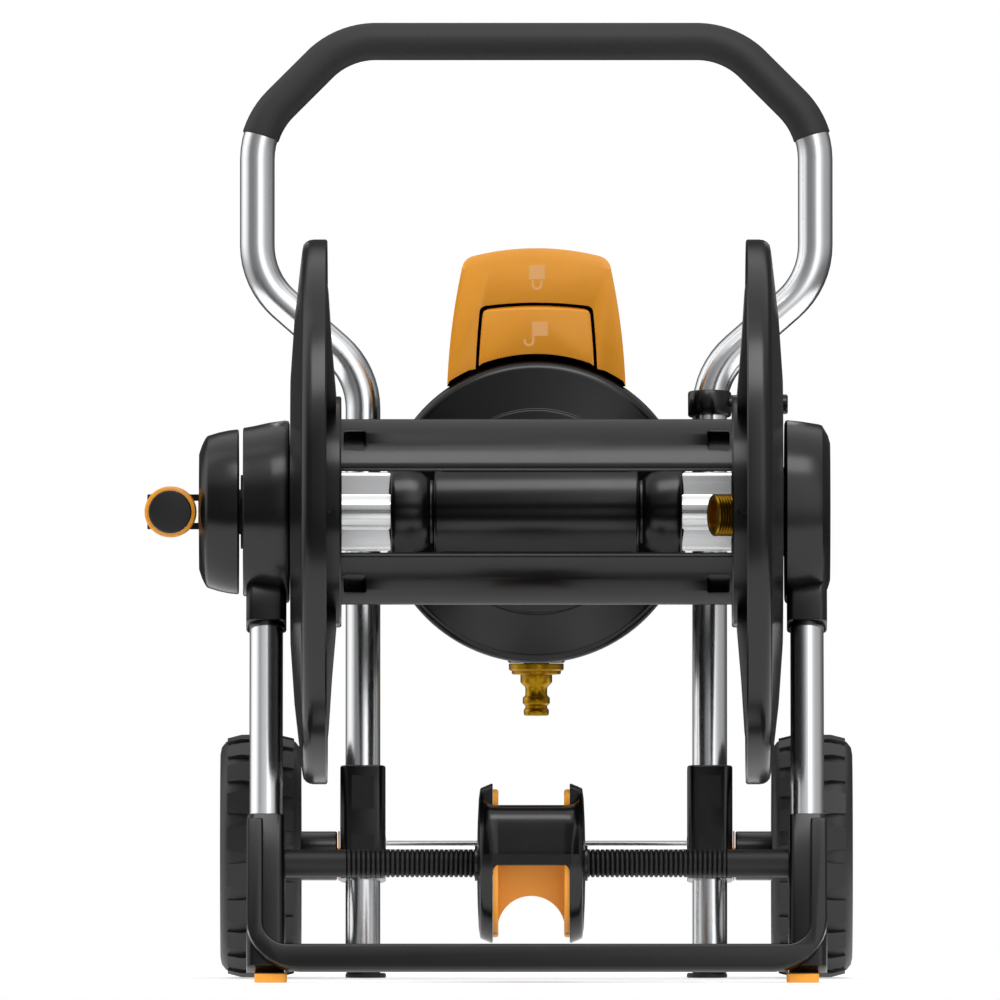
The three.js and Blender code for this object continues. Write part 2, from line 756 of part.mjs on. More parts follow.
part('bearing_housing_right', bearingHousing(true), glossBlack);
part('bearing_housing_left', mirrored(bearingHousing(false)), glossBlack);
const bush = solid(alongHub(ring(bushR, turning(JOURNAL_R), HOUSING_X, bushEndX)));
pair('bearing_bush', bush, mattBlack);


// Tube clamp: a block behind the beam, round the handle tube.
const clampBackY = handleY(HUB_Z) + tubeR + SEAT + CLAMP_WALL;
const clampBlock = solid(
  box(
    TUBE_X - CLAMP_W / 2,
    TUBE_X + CLAMP_W / 2,
    beamBackY + SEAT,
    clampBackY,
    HUB_Z - CLAMP_H / 2,
    HUB_Z + CLAMP_H / 2,
  ),
);
pair('tube_clamp', cut(clampBlock, tubeSpace), glossBlack);

// Accessory peg: a ring round the right tube with a peg that points outward.
const pegRing = solid(
  leaned(disc(tubeR + SEAT + PEG_CLAMP_WALL, -PEG_R, PEG_R, ROUND), TUBE_X, PEG_Z),
);
const peg = solid(
  alongX(disc(PEG_R, TUBE_X, PEG_END_X)).translate(0, handleY(PEG_Z), PEG_Z),
);
part('accessory_peg', cut(join(pegRing, peg), tubeSpace), glossBlack);

// ---------------------------------------------------------------- swivel base

// Swivel housing: a bevelled disc with a round boss, crossed by the barrel that holds the beam.
const alongSwivel = (geometry) => alongY(geometry).translate(0, 0, HUB_Z);
const swivelDisc = solid(
  alongSwivel(
    turned(
      [
        [0, SWIVEL_FACE_Y - BOSS_H],
        [BOSS_R - BOSS_H, SWIVEL_FACE_Y - BOSS_H],
        [BOSS_R, SWIVEL_FACE_Y],
        [SWIVEL_R - SWIVEL_BEVEL, SWIVEL_FACE_Y],
        [SWIVEL_R, SWIVEL_FACE_Y + SWIVEL_BEVEL],
        [SWIVEL_R, SWIVEL_BACK_Y],
        [0, SWIVEL_BACK_Y],
      ],
      LARGE,
    ),
  ),
);
const barrel = solid(
  alongHub(
    turned([
      [0, -NECK_X],
      [NECK_R + 2 * BOSS_H, -NECK_X],
      [NECK_R, -NECK_X + 4 * BOSS_H],
      [NECK_R, -BARREL_X - BOSS_H],
      [BARREL_R, -BARREL_X],
      [BARREL_R, BARREL_X],
      [NECK_R, BARREL_X + BOSS_H],
      [NECK_R, NECK_X - 4 * BOSS_H],
      [NECK_R + 2 * BOSS_H, NECK_X],
      [0, NECK_X],
    ]),
    BARREL_Y,
  ),
);
const behindSwivel = solid(
  box(-NECK_X - FREE, NECK_X + FREE, SWIVEL_BACK_Y, TURN_BACK_Y, 0, 2 * HUB_Z),
);

// Lock lug: stands on the disc's top, over the turntable's rim. The pedal's pin, the tab's stem
// and the bolt sit in it. A thin shield at its back closes the view through the pedal's window.
const turnFrontY = SWIVEL_BACK_Y + FREE;
const lugBackY = turnFrontY + TURN_RIM_T;
const lugBaseZ = HUB_Z + TURN_R + FREE;
const shieldFrontY = LOCK_PIN_Y + 3 * LOCK_PIN_R + FREE;
const lockLug = join(
  solid(
    box(-LUG_HALF_W, LUG_HALF_W, PEDAL_Y + PEDAL_T + FREE, lugBackY, lugBaseZ, LUG_TOP_Z),
  ),
  solid(
    box(
      -LUG_HALF_W,
      LUG_HALF_W,
      PEDAL_Y + PEDAL_T + FREE,
      SWIVEL_BACK_Y,
      HUB_Z + BOSS_R,
      LUG_TOP_Z,
    ),
  ),
  solid(
    box(
      -SHIELD_HALF_W,
      SHIELD_HALF_W,
      shieldFrontY,
      shieldFrontY + SHIELD_T,
      lugBaseZ,
      SHIELD_TOP_Z,
    ),
  ),
);
const stemZ = LUG_TOP_Z - 2.5 * STEM_R;
const alongPinX = (geometry) => alongX(geometry).translate(0, LOCK_PIN_Y, LOCK_PIN_Z);
const pinHalf = EAR_X + EAR_W;
const pinHole = solid(alongPinX(disc(LOCK_PIN_R + SEAT, -pinHalf, pinHalf, TUBE_SIDES)));
const stemEndY = PEDAL_Y + PEDAL_T + STEM_L;
const stemHole = solid(
  alongY(disc(STEM_R + SEAT, PEDAL_Y, stemEndY + SEAT, TUBE_SIDES)).translate(0, 0, stemZ),
);
const boltLowZ = HUB_Z + TURN_R + FREE / 2;
const boltSpace = solid(
  box(
    -BOLT_W / 2 - SEAT,
    BOLT_W / 2 + SEAT,
    BOLT_Y - BOLT_T / 2 - SEAT,
    BOLT_Y + BOLT_T / 2 + SEAT,
    HUB_Z,
    boltLowZ + BOLT_L + SEAT,
  ),
);
const spindleHole = solid(alongSwivel(disc(SPINDLE_R + SEAT, beamBackY, TURN_BACK_Y)));
part(
  'swivel_housing',
  cut(
    join(swivelDisc, cut(barrel, behindSwivel), lockLug),
    beamSpace(SWIVEL_R + FREE),
    pinHole,
    stemHole,
    boltSpace,
    spindleHole,
  ),
  glossBlack,
);

// Turntable: a flat drum with a thick notched rim in front, hollow behind it. The water enters
// through the boss at its foot.
const cavityInR = SPINDLE_HEAD_R + 2 * TURN_WALL;
const cavityFrontY = turnFrontY + TURN_RIM_T;
const headSeatY = TURN_BACK_Y - 2 * SPINDLE_HEAD_T;
const turnBody = solid(
  alongSwivel(ring(TURN_R, turning(SPINDLE_R), turnFrontY, TURN_BACK_Y, LARGE)),
);
const rimHollow = solid(
  alongSwivel(
    ring(TURN_R - TURN_RIM_DEPTH, cavityInR, turnFrontY + TURN_WALL, cavityFrontY + FREE, ROUND),
  ),
);
const backHollow = solid(
  alongSwivel(ring(TURN_R - TURN_WALL, cavityInR, cavityFrontY, TURN_BACK_Y - TURN_WALL, ROUND)),
);
const headSpace = solid(
  alongSwivel(disc(turning(SPINDLE_HEAD_R), headSeatY, TURN_BACK_Y + FREE)),
);
const inletBoss = solid(
  disc(INLET_BOSS_R, HUB_Z - INLET_R + SEAT, HUB_Z - TURN_R + 2 * TURN_WALL)
    .translate(0, INLET_Y, 0),
);
const inletHole = solid(
  disc(INLET_STEM_R + SEAT, HUB_Z - INLET_R - FREE, HUB_Z - BOSS_R, TUBE_SIDES)
    .translate(0, INLET_Y, 0),
);

function notch(k) {
  const half = BOLT_W / 2 + SEAT;
  const reach = TURN_R - NOTCH_DEPTH;
  const slot = box(-half, half, turnFrontY + TURN_WALL, cavityFrontY, reach, TURN_R + FREE);
  return solid(slot.rotateY((2 * PI * k) / NOTCHES).translate(0, 0, HUB_Z));
}

const notches = Array.from({ length: NOTCHES }, (_, k) => notch(k));
part(
  'turntable',
  cut(join(turnBody, inletBoss), rimHollow, backHollow, headSpace, inletHole, ...notches),
  glossBlack,
);

const spindle = turned([
  [0, beamBackY + SEAT],
  [SPINDLE_R, beamBackY + SEAT],
  [SPINDLE_R, headSeatY + SEAT],
  [SPINDLE_HEAD_R, headSeatY + SEAT],
  [SPINDLE_HEAD_R, headSeatY + SEAT + SPINDLE_HEAD_T],
  [0, headSeatY + SEAT + SPINDLE_HEAD_T],
]);
part('swivel_spindle', solid(alongSwivel(spindle)), steel);

// Inlet nipple: a brass quick-connect nipple that points down. Heights are from its collar.
const inletTop = HUB_Z - INLET_R;
const nippleOutline = [
  [INLET_BORE_R, inletTop + 2 * TURN_WALL],
  [INLET_BORE_R, inletTop - 33],
  [8, inletTop - 33],
  [8, inletTop - 28.5],
  [6.9, inletTop - 28],
  [6.9, inletTop - 26.5],
  [8.55, inletTop - 25],
  [8.55, inletTop - 21.5],
  [6.9, inletTop - 20],
  [6.9, inletTop - 15],
  [10, inletTop - 12],
  [10, inletTop - 7],
  [15.5, inletTop - 7],
  [15.5, inletTop - 4.5],
  [17.3, inletTop - 4],
  [17.3, inletTop],
  [INLET_STEM_R, inletTop],
  [INLET_STEM_R, inletTop + 2 * TURN_WALL],
].reverse();
part('inlet_nipple', solid(turned(nippleOutline, TUBE_SIDES).translate(0, INLET_Y, 0)), brass);

// ---------------------------------------------------------------- swivel lock

// A plate with slanted sides and a crowned top, raised along Y.
function lockPlate(low, top, half, topHalf, fall, gap) {
  const wall = topHalf + gap;
  const crown = top + gap;
  const shoulder = crown - 3 * fall;
  const shape = new THREE.Shape();
  shape.moveTo(half + gap, low);
  shape.quadraticCurveTo(half + gap, (low + shoulder) / 2, wall, shoulder);
  shape.quadraticCurveTo(wall - fall / 4, crown - 1.3 * fall, wall - 2 * fall, crown - fall);
  shape.quadraticCurveTo(0, crown + fall, 2 * fall - wall, crown - fall);
  shape.quadraticCurveTo(fall / 4 - wall, crown - 1.3 * fall, -wall, shoulder);
  shape.quadraticCurveTo(-half - gap, (low + shoulder) / 2, -half - gap, low);
  return shape;
}

// The plate's outline lies in x-z, so it is raised along Z and laid back to Y.
const raisedBack = (shape, front, back) =>
  solid(raised(shape, -back, -front, 6).rotateX(PI / 2));
const discSpace = (radius) => solid(alongSwivel(disc(radius, 0, SWIVEL_BACK_Y, LARGE)));
const pedalBack = PEDAL_Y + PEDAL_T;
const pedalPlate = raisedBack(
  lockPlate(HUB_Z + BOSS_R, PEDAL_TOP_Z, PEDAL_HALF_W, PEDAL_TOP_HALF_W, PEDAL_CROWN, 0),
  PEDAL_Y,
  pedalBack,
);
const tabPlate = (gap) =>
  raisedBack(
    lockPlate(HUB_Z, TAB_TOP_Z, TAB_HALF_W, TAB_TOP_HALF_W, TAB_CROWN, gap),
    PEDAL_Y - gap,
    pedalBack + gap,
  );

function pedalEar(side) {
  const ear = new THREE.Shape();
  ear.absarc(LOCK_PIN_Y, LOCK_PIN_Z, 3 * LOCK_PIN_R, -PI / 2, PI / 2);
  ear.lineTo(pedalBack - FREE, LOCK_PIN_Z + 3 * LOCK_PIN_R);
  ear.lineTo(pedalBack - FREE, LOCK_PIN_Z - 3 * LOCK_PIN_R);
  const middle = side * EAR_X;
  return solid(standOnX(raised(ear, middle - EAR_W / 2, middle + EAR_W / 2)));
}

part(
  'lock_pedal',
  cut(
    join(cut(pedalPlate, tabPlate(TAB_GAP), discSpace(SWIVEL_R + SEAT)), pedalEar(1), pedalEar(-1)),
    pinHole,
  ),
  orange,
);
const tabStem = alongY(disc(STEM_R, pedalBack - FREE, stemEndY, TUBE_SIDES)).translate(0, 0, stemZ);
part(
  'release_tab',
  join(cut(tabPlate(0), discSpace(SWIVEL_R + TAB_LIFT)), solid(tabStem)),
  orange,
);
part('lock_pin', solid(alongPinX(disc(LOCK_PIN_R, -pinHalf, pinHalf, TUBE_SIDES))), steel);
part(
  'lock_bolt',
  solid(
    box(
      -BOLT_W / 2,
      BOLT_W / 2,
      BOLT_Y - BOLT_T / 2,
      BOLT_Y + BOLT_T / 2,
      boltLowZ,
      boltLowZ + BOLT_L,
    ),
  ),
  steel,
);

// ---------------------------------------------------------------- legs and feet

// The legs hang from the drum axle and lean forward. They are shaped hanging straight down from
// the origin, with the front to -Y.
const hung = (geometry) => geometry.rotateX(-LEG_LEAN).translate(0, 0, HUB_Z);
const legPost = (shape, high, low) => raised(shape, -low, -high).translate(LEG_X, 0, 0);
const legBore = (high, low) =>
  solid(hung(disc(LEG_D / 2 + SEAT, -low, -high, TUBE_SIDES).translate(LEG_X, 0, 0)));
const housingSpace = solid(alongHub(turned(housingOutline(SEAT))));
const clipTop = HOUSING_R - CLIP_DEPTH / 2;
const clipPost = solid(
  hung(legPost(roundedRectangle(CLIP_W, CLIP_DEPTH, CLIP_CORNER), clipTop, CLIP_LOW)),
);
const legTop = HOUSING_R + 2 * SEAT;
pair('leg_clip', cut(clipPost, housingSpace, legBore(0, CLIP_LOW + FREE)), glossBlack);

const legTube = ring(LEG_D / 2, LEG_D / 2 - LEG_WALL, -LEG_END, -legTop, TUBE_SIDES);
pair('leg_tube', solid(hung(legTube.translate(LEG_X, 0, 0))), brightMetal);

// Foot socket: holds the leg's end and the guide bar's end, and stands on the foot pad.
const guideY = (GUIDE_Z - HUB_Z) * tan(LEG_LEAN);
const alongGuide = (geometry) => alongX(geometry).translate(0, guideY, GUIDE_Z);
const guideEndX = LEG_X - LEG_D / 2;
const footLow = HUB_Z / cos(LEG_LEAN) + SOCKET_DEPTH;
const footPost = solid(
  hung(legPost(roundedRectangle(SOCKET_W, SOCKET_DEPTH, CLIP_CORNER), SOCKET_TOP, footLow)),
);
const belowPad = solid(
  box(-2 * LEG_X, 2 * LEG_X, -HUB_Z, HUB_Z, -2 * SOCKET_DEPTH, FOOT_PAD_T + SEAT),
);
const guideBarSpace = solid(alongGuide(disc(GUIDE_BAR_R + SEAT, 0, guideEndX, TUBE_SIDES)));
pair(
  'foot_socket',
  cut(footPost, belowPad, legBore(0, LEG_END + SEAT), guideBarSpace),
  glossBlack,
);

// Foot pad: its ribbed underside stands on the ground.
const padY = -HUB_Z * tan(LEG_LEAN);
const padShape = roundedRectangle(FOOT_PAD_W, FOOT_PAD_L, CLIP_CORNER);
pair('foot_pad', solid(raised(padShape, 0, FOOT_PAD_T).translate(FOOT_PAD_X, padY, 0)), orange);

// Front bar: a flat U in front of the foot sockets.
function barOutline(inset, top, low, corner) {
  const reach = BAR_OUT_X - inset;
  const shape = new THREE.Shape();
  shape.moveTo(reach, -top);
  shape.lineTo(reach, -low + corner);
  shape.absarc(reach - corner, -low + corner, corner, 0, -PI / 2, true);
  shape.absarc(-reach + corner, -low + corner, corner, -PI / 2, -PI, true);
  shape.lineTo(-reach, -top);
  return shape;
}

const barFrontY = -SOCKET_DEPTH / 2 - SEAT - BAR_DEPTH;
const flatBar = (shape, grow) =>
  solid(
    hung(
      raised(shape, -grow, BAR_DEPTH + grow, 6)
        .rotateX(PI / 2)
        .translate(0, barFrontY + BAR_DEPTH, 0),
    ),
  );
part(
  'front_bar',
  cut(
    flatBar(barOutline(0, BAR_TOP, BAR_LOW, BAR_OUT_R), 0),
    flatBar(barOutline(BAR_W, BAR_TOP - FREE, BAR_LOW - BAR_H, BAR_IN_R), FREE),
  ),
  glossBlack,
);

// ---------------------------------------------------------------- hose guide

// Guide bar: plain at its ends, ribbed along the middle.
const ribCount = Math.round((2 * RIBBED_HALF) / RIB_PITCH);
const ribPoints = Array.from({ length: ribCount }, (_, k) => {
  const x = -RIBBED_HALF + k * RIB_PITCH;
  return [[GUIDE_BAR_R, x], [GUIDE_ROOT_R, x + RIB_PITCH / 2]];
}).flat();
const guideBar = turned(
  [
    [0, SEAT - guideEndX],
    [GUIDE_BAR_R, SEAT - guideEndX],
    ...ribPoints,
    [GUIDE_BAR_R, RIBBED_HALF],
    [GUIDE_BAR_R, guideEndX - SEAT],
    [0, guideEndX - SEAT],
  ],
  GUIDE_SIDES,
);
part('guide_bar', solid(alongGuide(guideBar)), mattBlack);

// Hose guide: two round cheeks joined by a saddle that lies over the bar.
const saddleHalf = CHEEK_IN + FREE;
const guideSaddle = solid(
  alongX(ring(SADDLE_R, SADDLE_R - SADDLE_WALL, -saddleHalf, saddleHalf, ROUND)),
);
const belowSaddle = solid(
  box(-CHEEK_R, CHEEK_R, -CHEEK_R, CHEEK_R, -CHEEK_R, SADDLE_LOW_Z - GUIDE_Z),
);
const cheek = solid(
  alongX(
    turned(
      [
        [0, CHEEK_IN],
        [CHEEK_R - BOSS_H, CHEEK_IN],
        [CHEEK_R, CHEEK_IN + BOSS_H],
        [CHEEK_R, CHEEK_IN + CHEEK_T - BOSS_H],
        [CHEEK_R - BOSS_H, CHEEK_IN + CHEEK_T],
        [COLLAR_R, CHEEK_IN + CHEEK_T],
        [COLLAR_R, CHEEK_IN + CHEEK_T + COLLAR_L],
        [0, CHEEK_IN + CHEEK_T + COLLAR_L],
      ],
      ROUND,
    ),
  ),
);
const guideBore = solid(alongX(disc(GUIDE_BAR_R + FREE, -CHEEK_R, CHEEK_R, ROUND)));
const atGuide = (body) => solid(geometryOf(body).translate(GUIDE_X, guideY, GUIDE_Z));
part(
  'hose_guide',
  atGuide(cut(join(cut(guideSaddle, belowSaddle), cheek, mirrored(cheek)), guideBore)),
  glossBlack,
);

// Guide liner: orange side plates and a back wall inside the guide, with a round mouth below
// the bar where the hose passes.
const linerOutX = CHEEK_IN - SEAT;
const linerInX = linerOutX - LINER_WALL;
const linerPlate = solid(alongX(disc(LINER_R, linerInX, linerOutX, ROUND)));
const linerBack = solid(
  box(
    -linerInX - SEAT,
    linerInX + SEAT,
    -LINER_BACK_Y - LINER_WALL,
    -LINER_BACK_Y,
    MOUTH_LOW_Z - GUIDE_Z,
    SADDLE_LOW_Z - GUIDE_Z + 3 * LINER_WALL,
  ),
);
const mouthZ = MOUTH_TOP_Z - MOUTH_R - GUIDE_Z;
const mouth = solid(
  alongY(disc(MOUTH_R, -CHEEK_R, CHEEK_R, ROUND)).translate(0, 0, mouthZ),
).intersect(solid(box(-linerInX, linerInX, -CHEEK_R, CHEEK_R, -CHEEK_R, CHEEK_R)));
const saddleSpace = solid(
  alongX(ring(SADDLE_R + SEAT, SADDLE_R - SADDLE_WALL - SEAT, -CHEEK_IN, CHEEK_IN, ROUND)),
);
const aboveLow = solid(
  box(-CHEEK_R, CHEEK_R, -CHEEK_R, CHEEK_R, SADDLE_LOW_Z - GUIDE_Z - SEAT, CHEEK_R),
);
part(
  'guide_liner',
  atGuide(
    cut(
      join(linerPlate, mirrored(linerPlate), linerBack),
      saddleSpace.intersect(aboveLow),
      mouth,
      guideBore,
    ),
  ),
  orange,
);

// ---------------------------------------------------------------- drum

// Flange: a dished, ribbed disc with a deep rim, a cup in its middle and a hub. Each point is
// [radius, outer x, inner x].
const flangeSteps = [
  [158, 146.6, 129.7],
  [120, 150.8, 127.5],
  [83, FLANGE_OUT_X, 124.7],
];
const flangeSkin = turned(
  [
    [FLANGE_HUB_R, FLANGE_OUT_X],
    ...flangeSteps.map(([radius, outer]) => [radius, outer]).reverse(),
    [FLANGE_R, RIM_OUT_X],
    [FLANGE_R, RIM_IN_X],
    [FLANGE_R - FLANGE_RIM_WALL, RIM_IN_X],
    [FLANGE_R - FLANGE_RIM_WALL, RIM_OUT_X - FLANGE_SKIN],
    ...flangeSteps.map(([radius, outer]) => [radius, outer - FLANGE_SKIN]),
    [FLANGE_HUB_R, FLANGE_OUT_X - FLANGE_SKIN],
  ],
  LARGE,
);
const cupEndX = FLANGE_OUT_X - FLANGE_SKIN / 2;
const cupBore = (DRUM_BAR_R + SEAT) / cos(PI / LARGE);
const flangeCup = ring(FLANGE_CUP_R, cupBore, FLANGE_CUP_X, cupEndX, LARGE);
const flangeHub = ring(FLANGE_HUB_R + FLANGE_SKIN, JOURNAL_R + SEAT, FLANGE_HUB_X, FLANGE_OUT_X);
const ribOutline = outlineOf([
  [FLANGE_R - FLANGE_RIM_WALL / 2, RIM_OUT_X - FLANGE_SKIN / 2],
  ...flangeSteps.map(([radius, outer]) => [radius, outer - FLANGE_SKIN / 2]),
  [FLANGE_CUP_R - FLANGE_SKIN / 2, FLANGE_OUT_X - FLANGE_SKIN / 2],
  [FLANGE_CUP_R - FLANGE_SKIN / 2, FLANGE_CUP_X + FLANGE_SKIN],
  ...flangeSteps.map(([radius, , inner]) => [radius, inner]).reverse(),
  [FLANGE_R - FLANGE_RIM_WALL / 2, RIM_IN_X + FLANGE_SKIN],
]);

// A rib's outline is [radius, x], so it is raised along Z and turned to X.
function flangeRib(k) {
  const rib = raised(ribOutline, -RIB_T / 2, RIB_T / 2).rotateX(PI / 2);
  return solid(alongHub(rib.rotateZ((2 * PI * (k + 0.5)) / RIBS)));
}

const ribs = Array.from({ length: RIBS }, (_, k) => flangeRib(k));
const flangeBodies = [flangeSkin, flangeCup, flangeHub].map((geometry) => solid(alongHub(geometry)));
pair('flange', join(...flangeBodies, ...ribs), glossBlack);

// Drum bar: a curved slat between the cups of the two flanges, with a window near each end.
const barHalf = FLANGE_OUT_X - FLANGE_SKIN - FREE;

function drumBar(k) {
  const middle = (2 * PI * (k + 0.5)) / DRUM_BARS;
  const spread = DRUM_BAR_SPREAD / 2;
  const shape = new THREE.Shape();
  shape.absarc(0, 0, DRUM_BAR_R, middle - spread, middle + spread);
  shape.absarc(0, 0, DRUM_BAR_R - DRUM_BAR_T, middle + spread, middle - spread, true);
  return solid(alongHub(raised(shape, -barHalf, barHalf, 4)));
}

function barWindow(k, x) {
  const reach = box(
    DRUM_BAR_R / 2,
    2 * DRUM_BAR_R,
    -WINDOW_W / 2,
    WINDOW_W / 2,
    x - WINDOW_L / 2,
    x + WINDOW_L / 2,
  );
  return solid(alongHub(reach.rotateZ((2 * PI * (k + 0.5)) / DRUM_BARS)));
}

for (let k = 0; k < DRUM_BARS; k++) {
  const slat = cut(drumBar(k), barWindow(k, WINDOW_X), barWindow(k, -WINDOW_X));
  part(`drum_bar_${k + 1}`, slat, mattBlack);
}

// Water spigot: the right journal of the drum. It turns round the housing's nozzle, with a seal
// between them, and its inner end is a boss that carries the hose connector at a slant.
const journalEndX = floorX - RUN - FREE;
const counterboreX = floorX - NOZZLE_L - FREE;
const counterboreR = NOZZLE_R + SEAL_T + SEAT;
const slantLength = CONNECTOR_L + CONNECTOR_NECK_L;
const bossX = CONNECTOR_END_X + slantLength * cos(CONNECTOR_TILT);
// Places a body that stands on the boss's face, with its top toward the drum's middle.
const slanted = (geometry) =>
  geometry.rotateY(-PI / 2).rotateZ(CONNECTOR_TILT).translate(bossX, 0, CONNECTOR_Z);
const spigotBody = solid(alongHub(disc(JOURNAL_R, FLANGE_HUB_X + 2 * FREE, journalEndX)));
const spigotBoss = solid(slanted(disc(CONNECTOR_R, -BOSS_L, 0)));
part(
  'water_spigot',
  cut(
    join(spigotBody, spigotBoss),
    solid(alongHub(disc(counterboreR, counterboreX, floorX))),
    solid(alongHub(disc(SPIGOT_BORE_R, FLANGE_HUB_X + BOSS_L / 3, floorX, TUBE_SIDES))),
    solid(slanted(disc(SPIGOT_BORE_R, -BOSS_L, FREE, TUBE_SIDES))),
  ),
  mattBlack,
);
const sealX = counterboreX + SEAL_T;
const sealRing = ring(counterboreR - SEAT, NOZZLE_R + SEAT, sealX, sealX + SEAL_T);
part('spigot_seal', solid(alongHub(sealRing)), mattBlack);

// Hose connector: a brass neck and a thread with rounded-off crests.
const threadPitch = CONNECTOR_L / CONNECTOR_THREADS;
const threadPoints = Array.from({ length: CONNECTOR_THREADS }, (_, k) => {
  const start = CONNECTOR_NECK_L + k * threadPitch;
  return [
    [CONNECTOR_ROOT_R, start],
    [CONNECTOR_R, start + threadPitch / 3],
    [CONNECTOR_R, start + (threadPitch * 2) / 3],
  ];
}).flat();
const connector = turned([
  [CONNECTOR_BORE_R, SEAT],
  [CONNECTOR_NECK_R, SEAT],
  [CONNECTOR_NECK_R, CONNECTOR_NECK_L],
  ...threadPoints,
  [CONNECTOR_ROOT_R, slantLength],
  [CONNECTOR_BORE_R, slantLength],
], THREAD_SIDES);
part('hose_connector', solid(slanted(connector)), brass);

// Drive shaft: the left journal, stepped down to a stub that carries the crank.
const shaftStepX = CRANK_X - FREE;
const crankFloorX = CRANK_OUT_X - CRANK_WALL;
const driveShaft = turned([
  [0, FLANGE_HUB_X],
  [JOURNAL_R, FLANGE_HUB_X],
  [JOURNAL_R, shaftStepX],
  [STUB_R, shaftStepX],
  [STUB_R, crankFloorX - SEAT],
  [0, crankFloorX - SEAT],
]);
part('drive_shaft', mirrored(solid(alongHub(driveShaft))), mattBlack);

// ---------------------------------------------------------------- crank

// The crank is shaped on the right and mirrored: a cup over the housing with an arm that runs
// back to a fork for the folding grip.
const crankCup = solid(
  alongHub(
    turned([
      [0, CRANK_OUT_X],
      [CRANK_SHOULDER_R - 2 * CRANK_WALL, CRANK_OUT_X],
      [CRANK_SHOULDER_R, CRANK_SHOULDER_X],
      [CRANK_R, CRANK_X],
      [CRANK_R - CRANK_WALL, CRANK_X],
      [CRANK_SHOULDER_R - CRANK_WALL, crankFloorX - CRANK_WALL / 2],
      [CRANK_SHOULDER_R - 2 * CRANK_WALL, crankFloorX],
      [0, crankFloorX],
    ]),
  ),
);
const crankHub = solid(
  alongHub(ring(STUB_R + SEAT + CRANK_WALL, STUB_R + SEAT, CRANK_X, crankFloorX + FREE)),
);
const atPin = (geometry) => geometry.translate(GRIP_X, CRANK_PIN_Y, HUB_Z);
const crankLow = HUB_Z - CRANK_H / 2;
const crankHigh = HUB_Z + CRANK_H / 2;
const crankArmX = CRANK_ARM_X - CRANK_ARM_T;
const crankEndY = CRANK_PIN_Y + EYE_R;
const crankArm = solid(
  box(crankArmX, CRANK_ARM_X, CRANK_ARM_Y, crankEndY, crankLow, crankHigh),
);
const forkRoot = solid(
  box(CRANK_ARM_X - CRANK_WALL, GRIP_X, CRANK_PIN_Y - EYE_R, crankEndY, crankLow, crankHigh),
);
const forkEyes = solid(atPin(disc(EYE_R, -CRANK_H / 2, CRANK_H / 2)));
const tongueHalf = TONGUE_H / 2;
const tongueSpace = solid(atPin(disc(EYE_R + FREE, -tongueHalf - RUN, tongueHalf + RUN)));
const crankPinHole = solid(atPin(disc(CRANK_PIN_R + SEAT, -CRANK_H, CRANK_H, TUBE_SIDES)));
part(
  'crank_disc',
  mirrored(cut(join(crankCup, crankHub, crankArm, forkRoot, forkEyes), tongueSpace, crankPinHole)),
  glossBlack,
);
const crankPin = atPin(disc(CRANK_PIN_R, -CRANK_H / 2, CRANK_H / 2, TUBE_SIDES));
part('crank_pin', mirrored(solid(crankPin)), steel);

// Grip: turns on a headed rod whose tongue swings on the crank's pin. It points forward here.
const gripEnd = GRIP_NEAR + GRIP_L;
const alongGrip = (geometry) => atPin(geometry.rotateX(PI / 2));
const headSeat = gripEnd - 2 * ROD_HEAD_T;
const rodStart = TONGUE_R - FREE;
part(
  'grip_spindle',
  mirrored(
    cut(
      join(
        solid(atPin(disc(TONGUE_R, -tongueHalf, tongueHalf))),
        solid(alongGrip(disc(GRIP_ROD_R, rodStart, headSeat + FREE + SEAT, TUBE_SIDES))),
        solid(alongGrip(disc(ROD_HEAD_R, headSeat + SEAT, headSeat + SEAT + ROD_HEAD_T, TUBE_SIDES))),
      ),
      solid(atPin(disc(turning(CRANK_PIN_R), -CRANK_H, CRANK_H))),
    ),
  ),
  steel,
);
const capPlugR = ROD_HEAD_R + 2 * FREE;
const crankGrip = turned([
  [turning(GRIP_ROD_R), GRIP_NEAR],
  [GRIP_R - CRANK_WALL, GRIP_NEAR],
  [GRIP_R, GRIP_NEAR + CRANK_WALL],
  [GRIP_R, gripEnd - CRANK_WALL],
  [GRIP_R - CRANK_WALL / 2, gripEnd],
  [capPlugR + SEAT, gripEnd],
  [capPlugR + SEAT, headSeat],
  [turning(GRIP_ROD_R), headSeat],
]);
part('crank_grip', mirrored(solid(alongGrip(crankGrip))), orange);
const endCap = turned([
  [0, gripEnd - FREE - SEAT],
  [capPlugR, gripEnd - FREE - SEAT],
  [capPlugR, gripEnd + SEAT],
  [END_CAP_R, gripEnd + SEAT],
  [END_CAP_R, gripEnd + END_CAP_T - BOSS_H],
  [END_CAP_R - BOSS_H, gripEnd + END_CAP_T],
  [0, gripEnd + END_CAP_T],
]);
part('grip_end_cap', mirrored(solid(alongGrip(endCap))), mattBlack);

// ---------------------------------------------------------------- placing

// The origin is under the middle of the cart, on the ground.
const reach = new THREE.Box3().setFromObject(cart);
const middle = reach.getCenter(new THREE.Vector3());
cart.position.set(-middle.x, -middle.y, -reach.min.z);

export default cart;
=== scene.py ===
"""Hose reel cart, dressed round its CAD frame. Shapes are drawn in millimetres from the cart's
middle plane (x), the drum's axle (y) and the ground (z), and settled into the frame in metres."""
from math import acos, asin, atan2, cos, pi, radians, sin, sqrt, tan
import bpy
import bmesh
from mathutils import Matrix, Vector


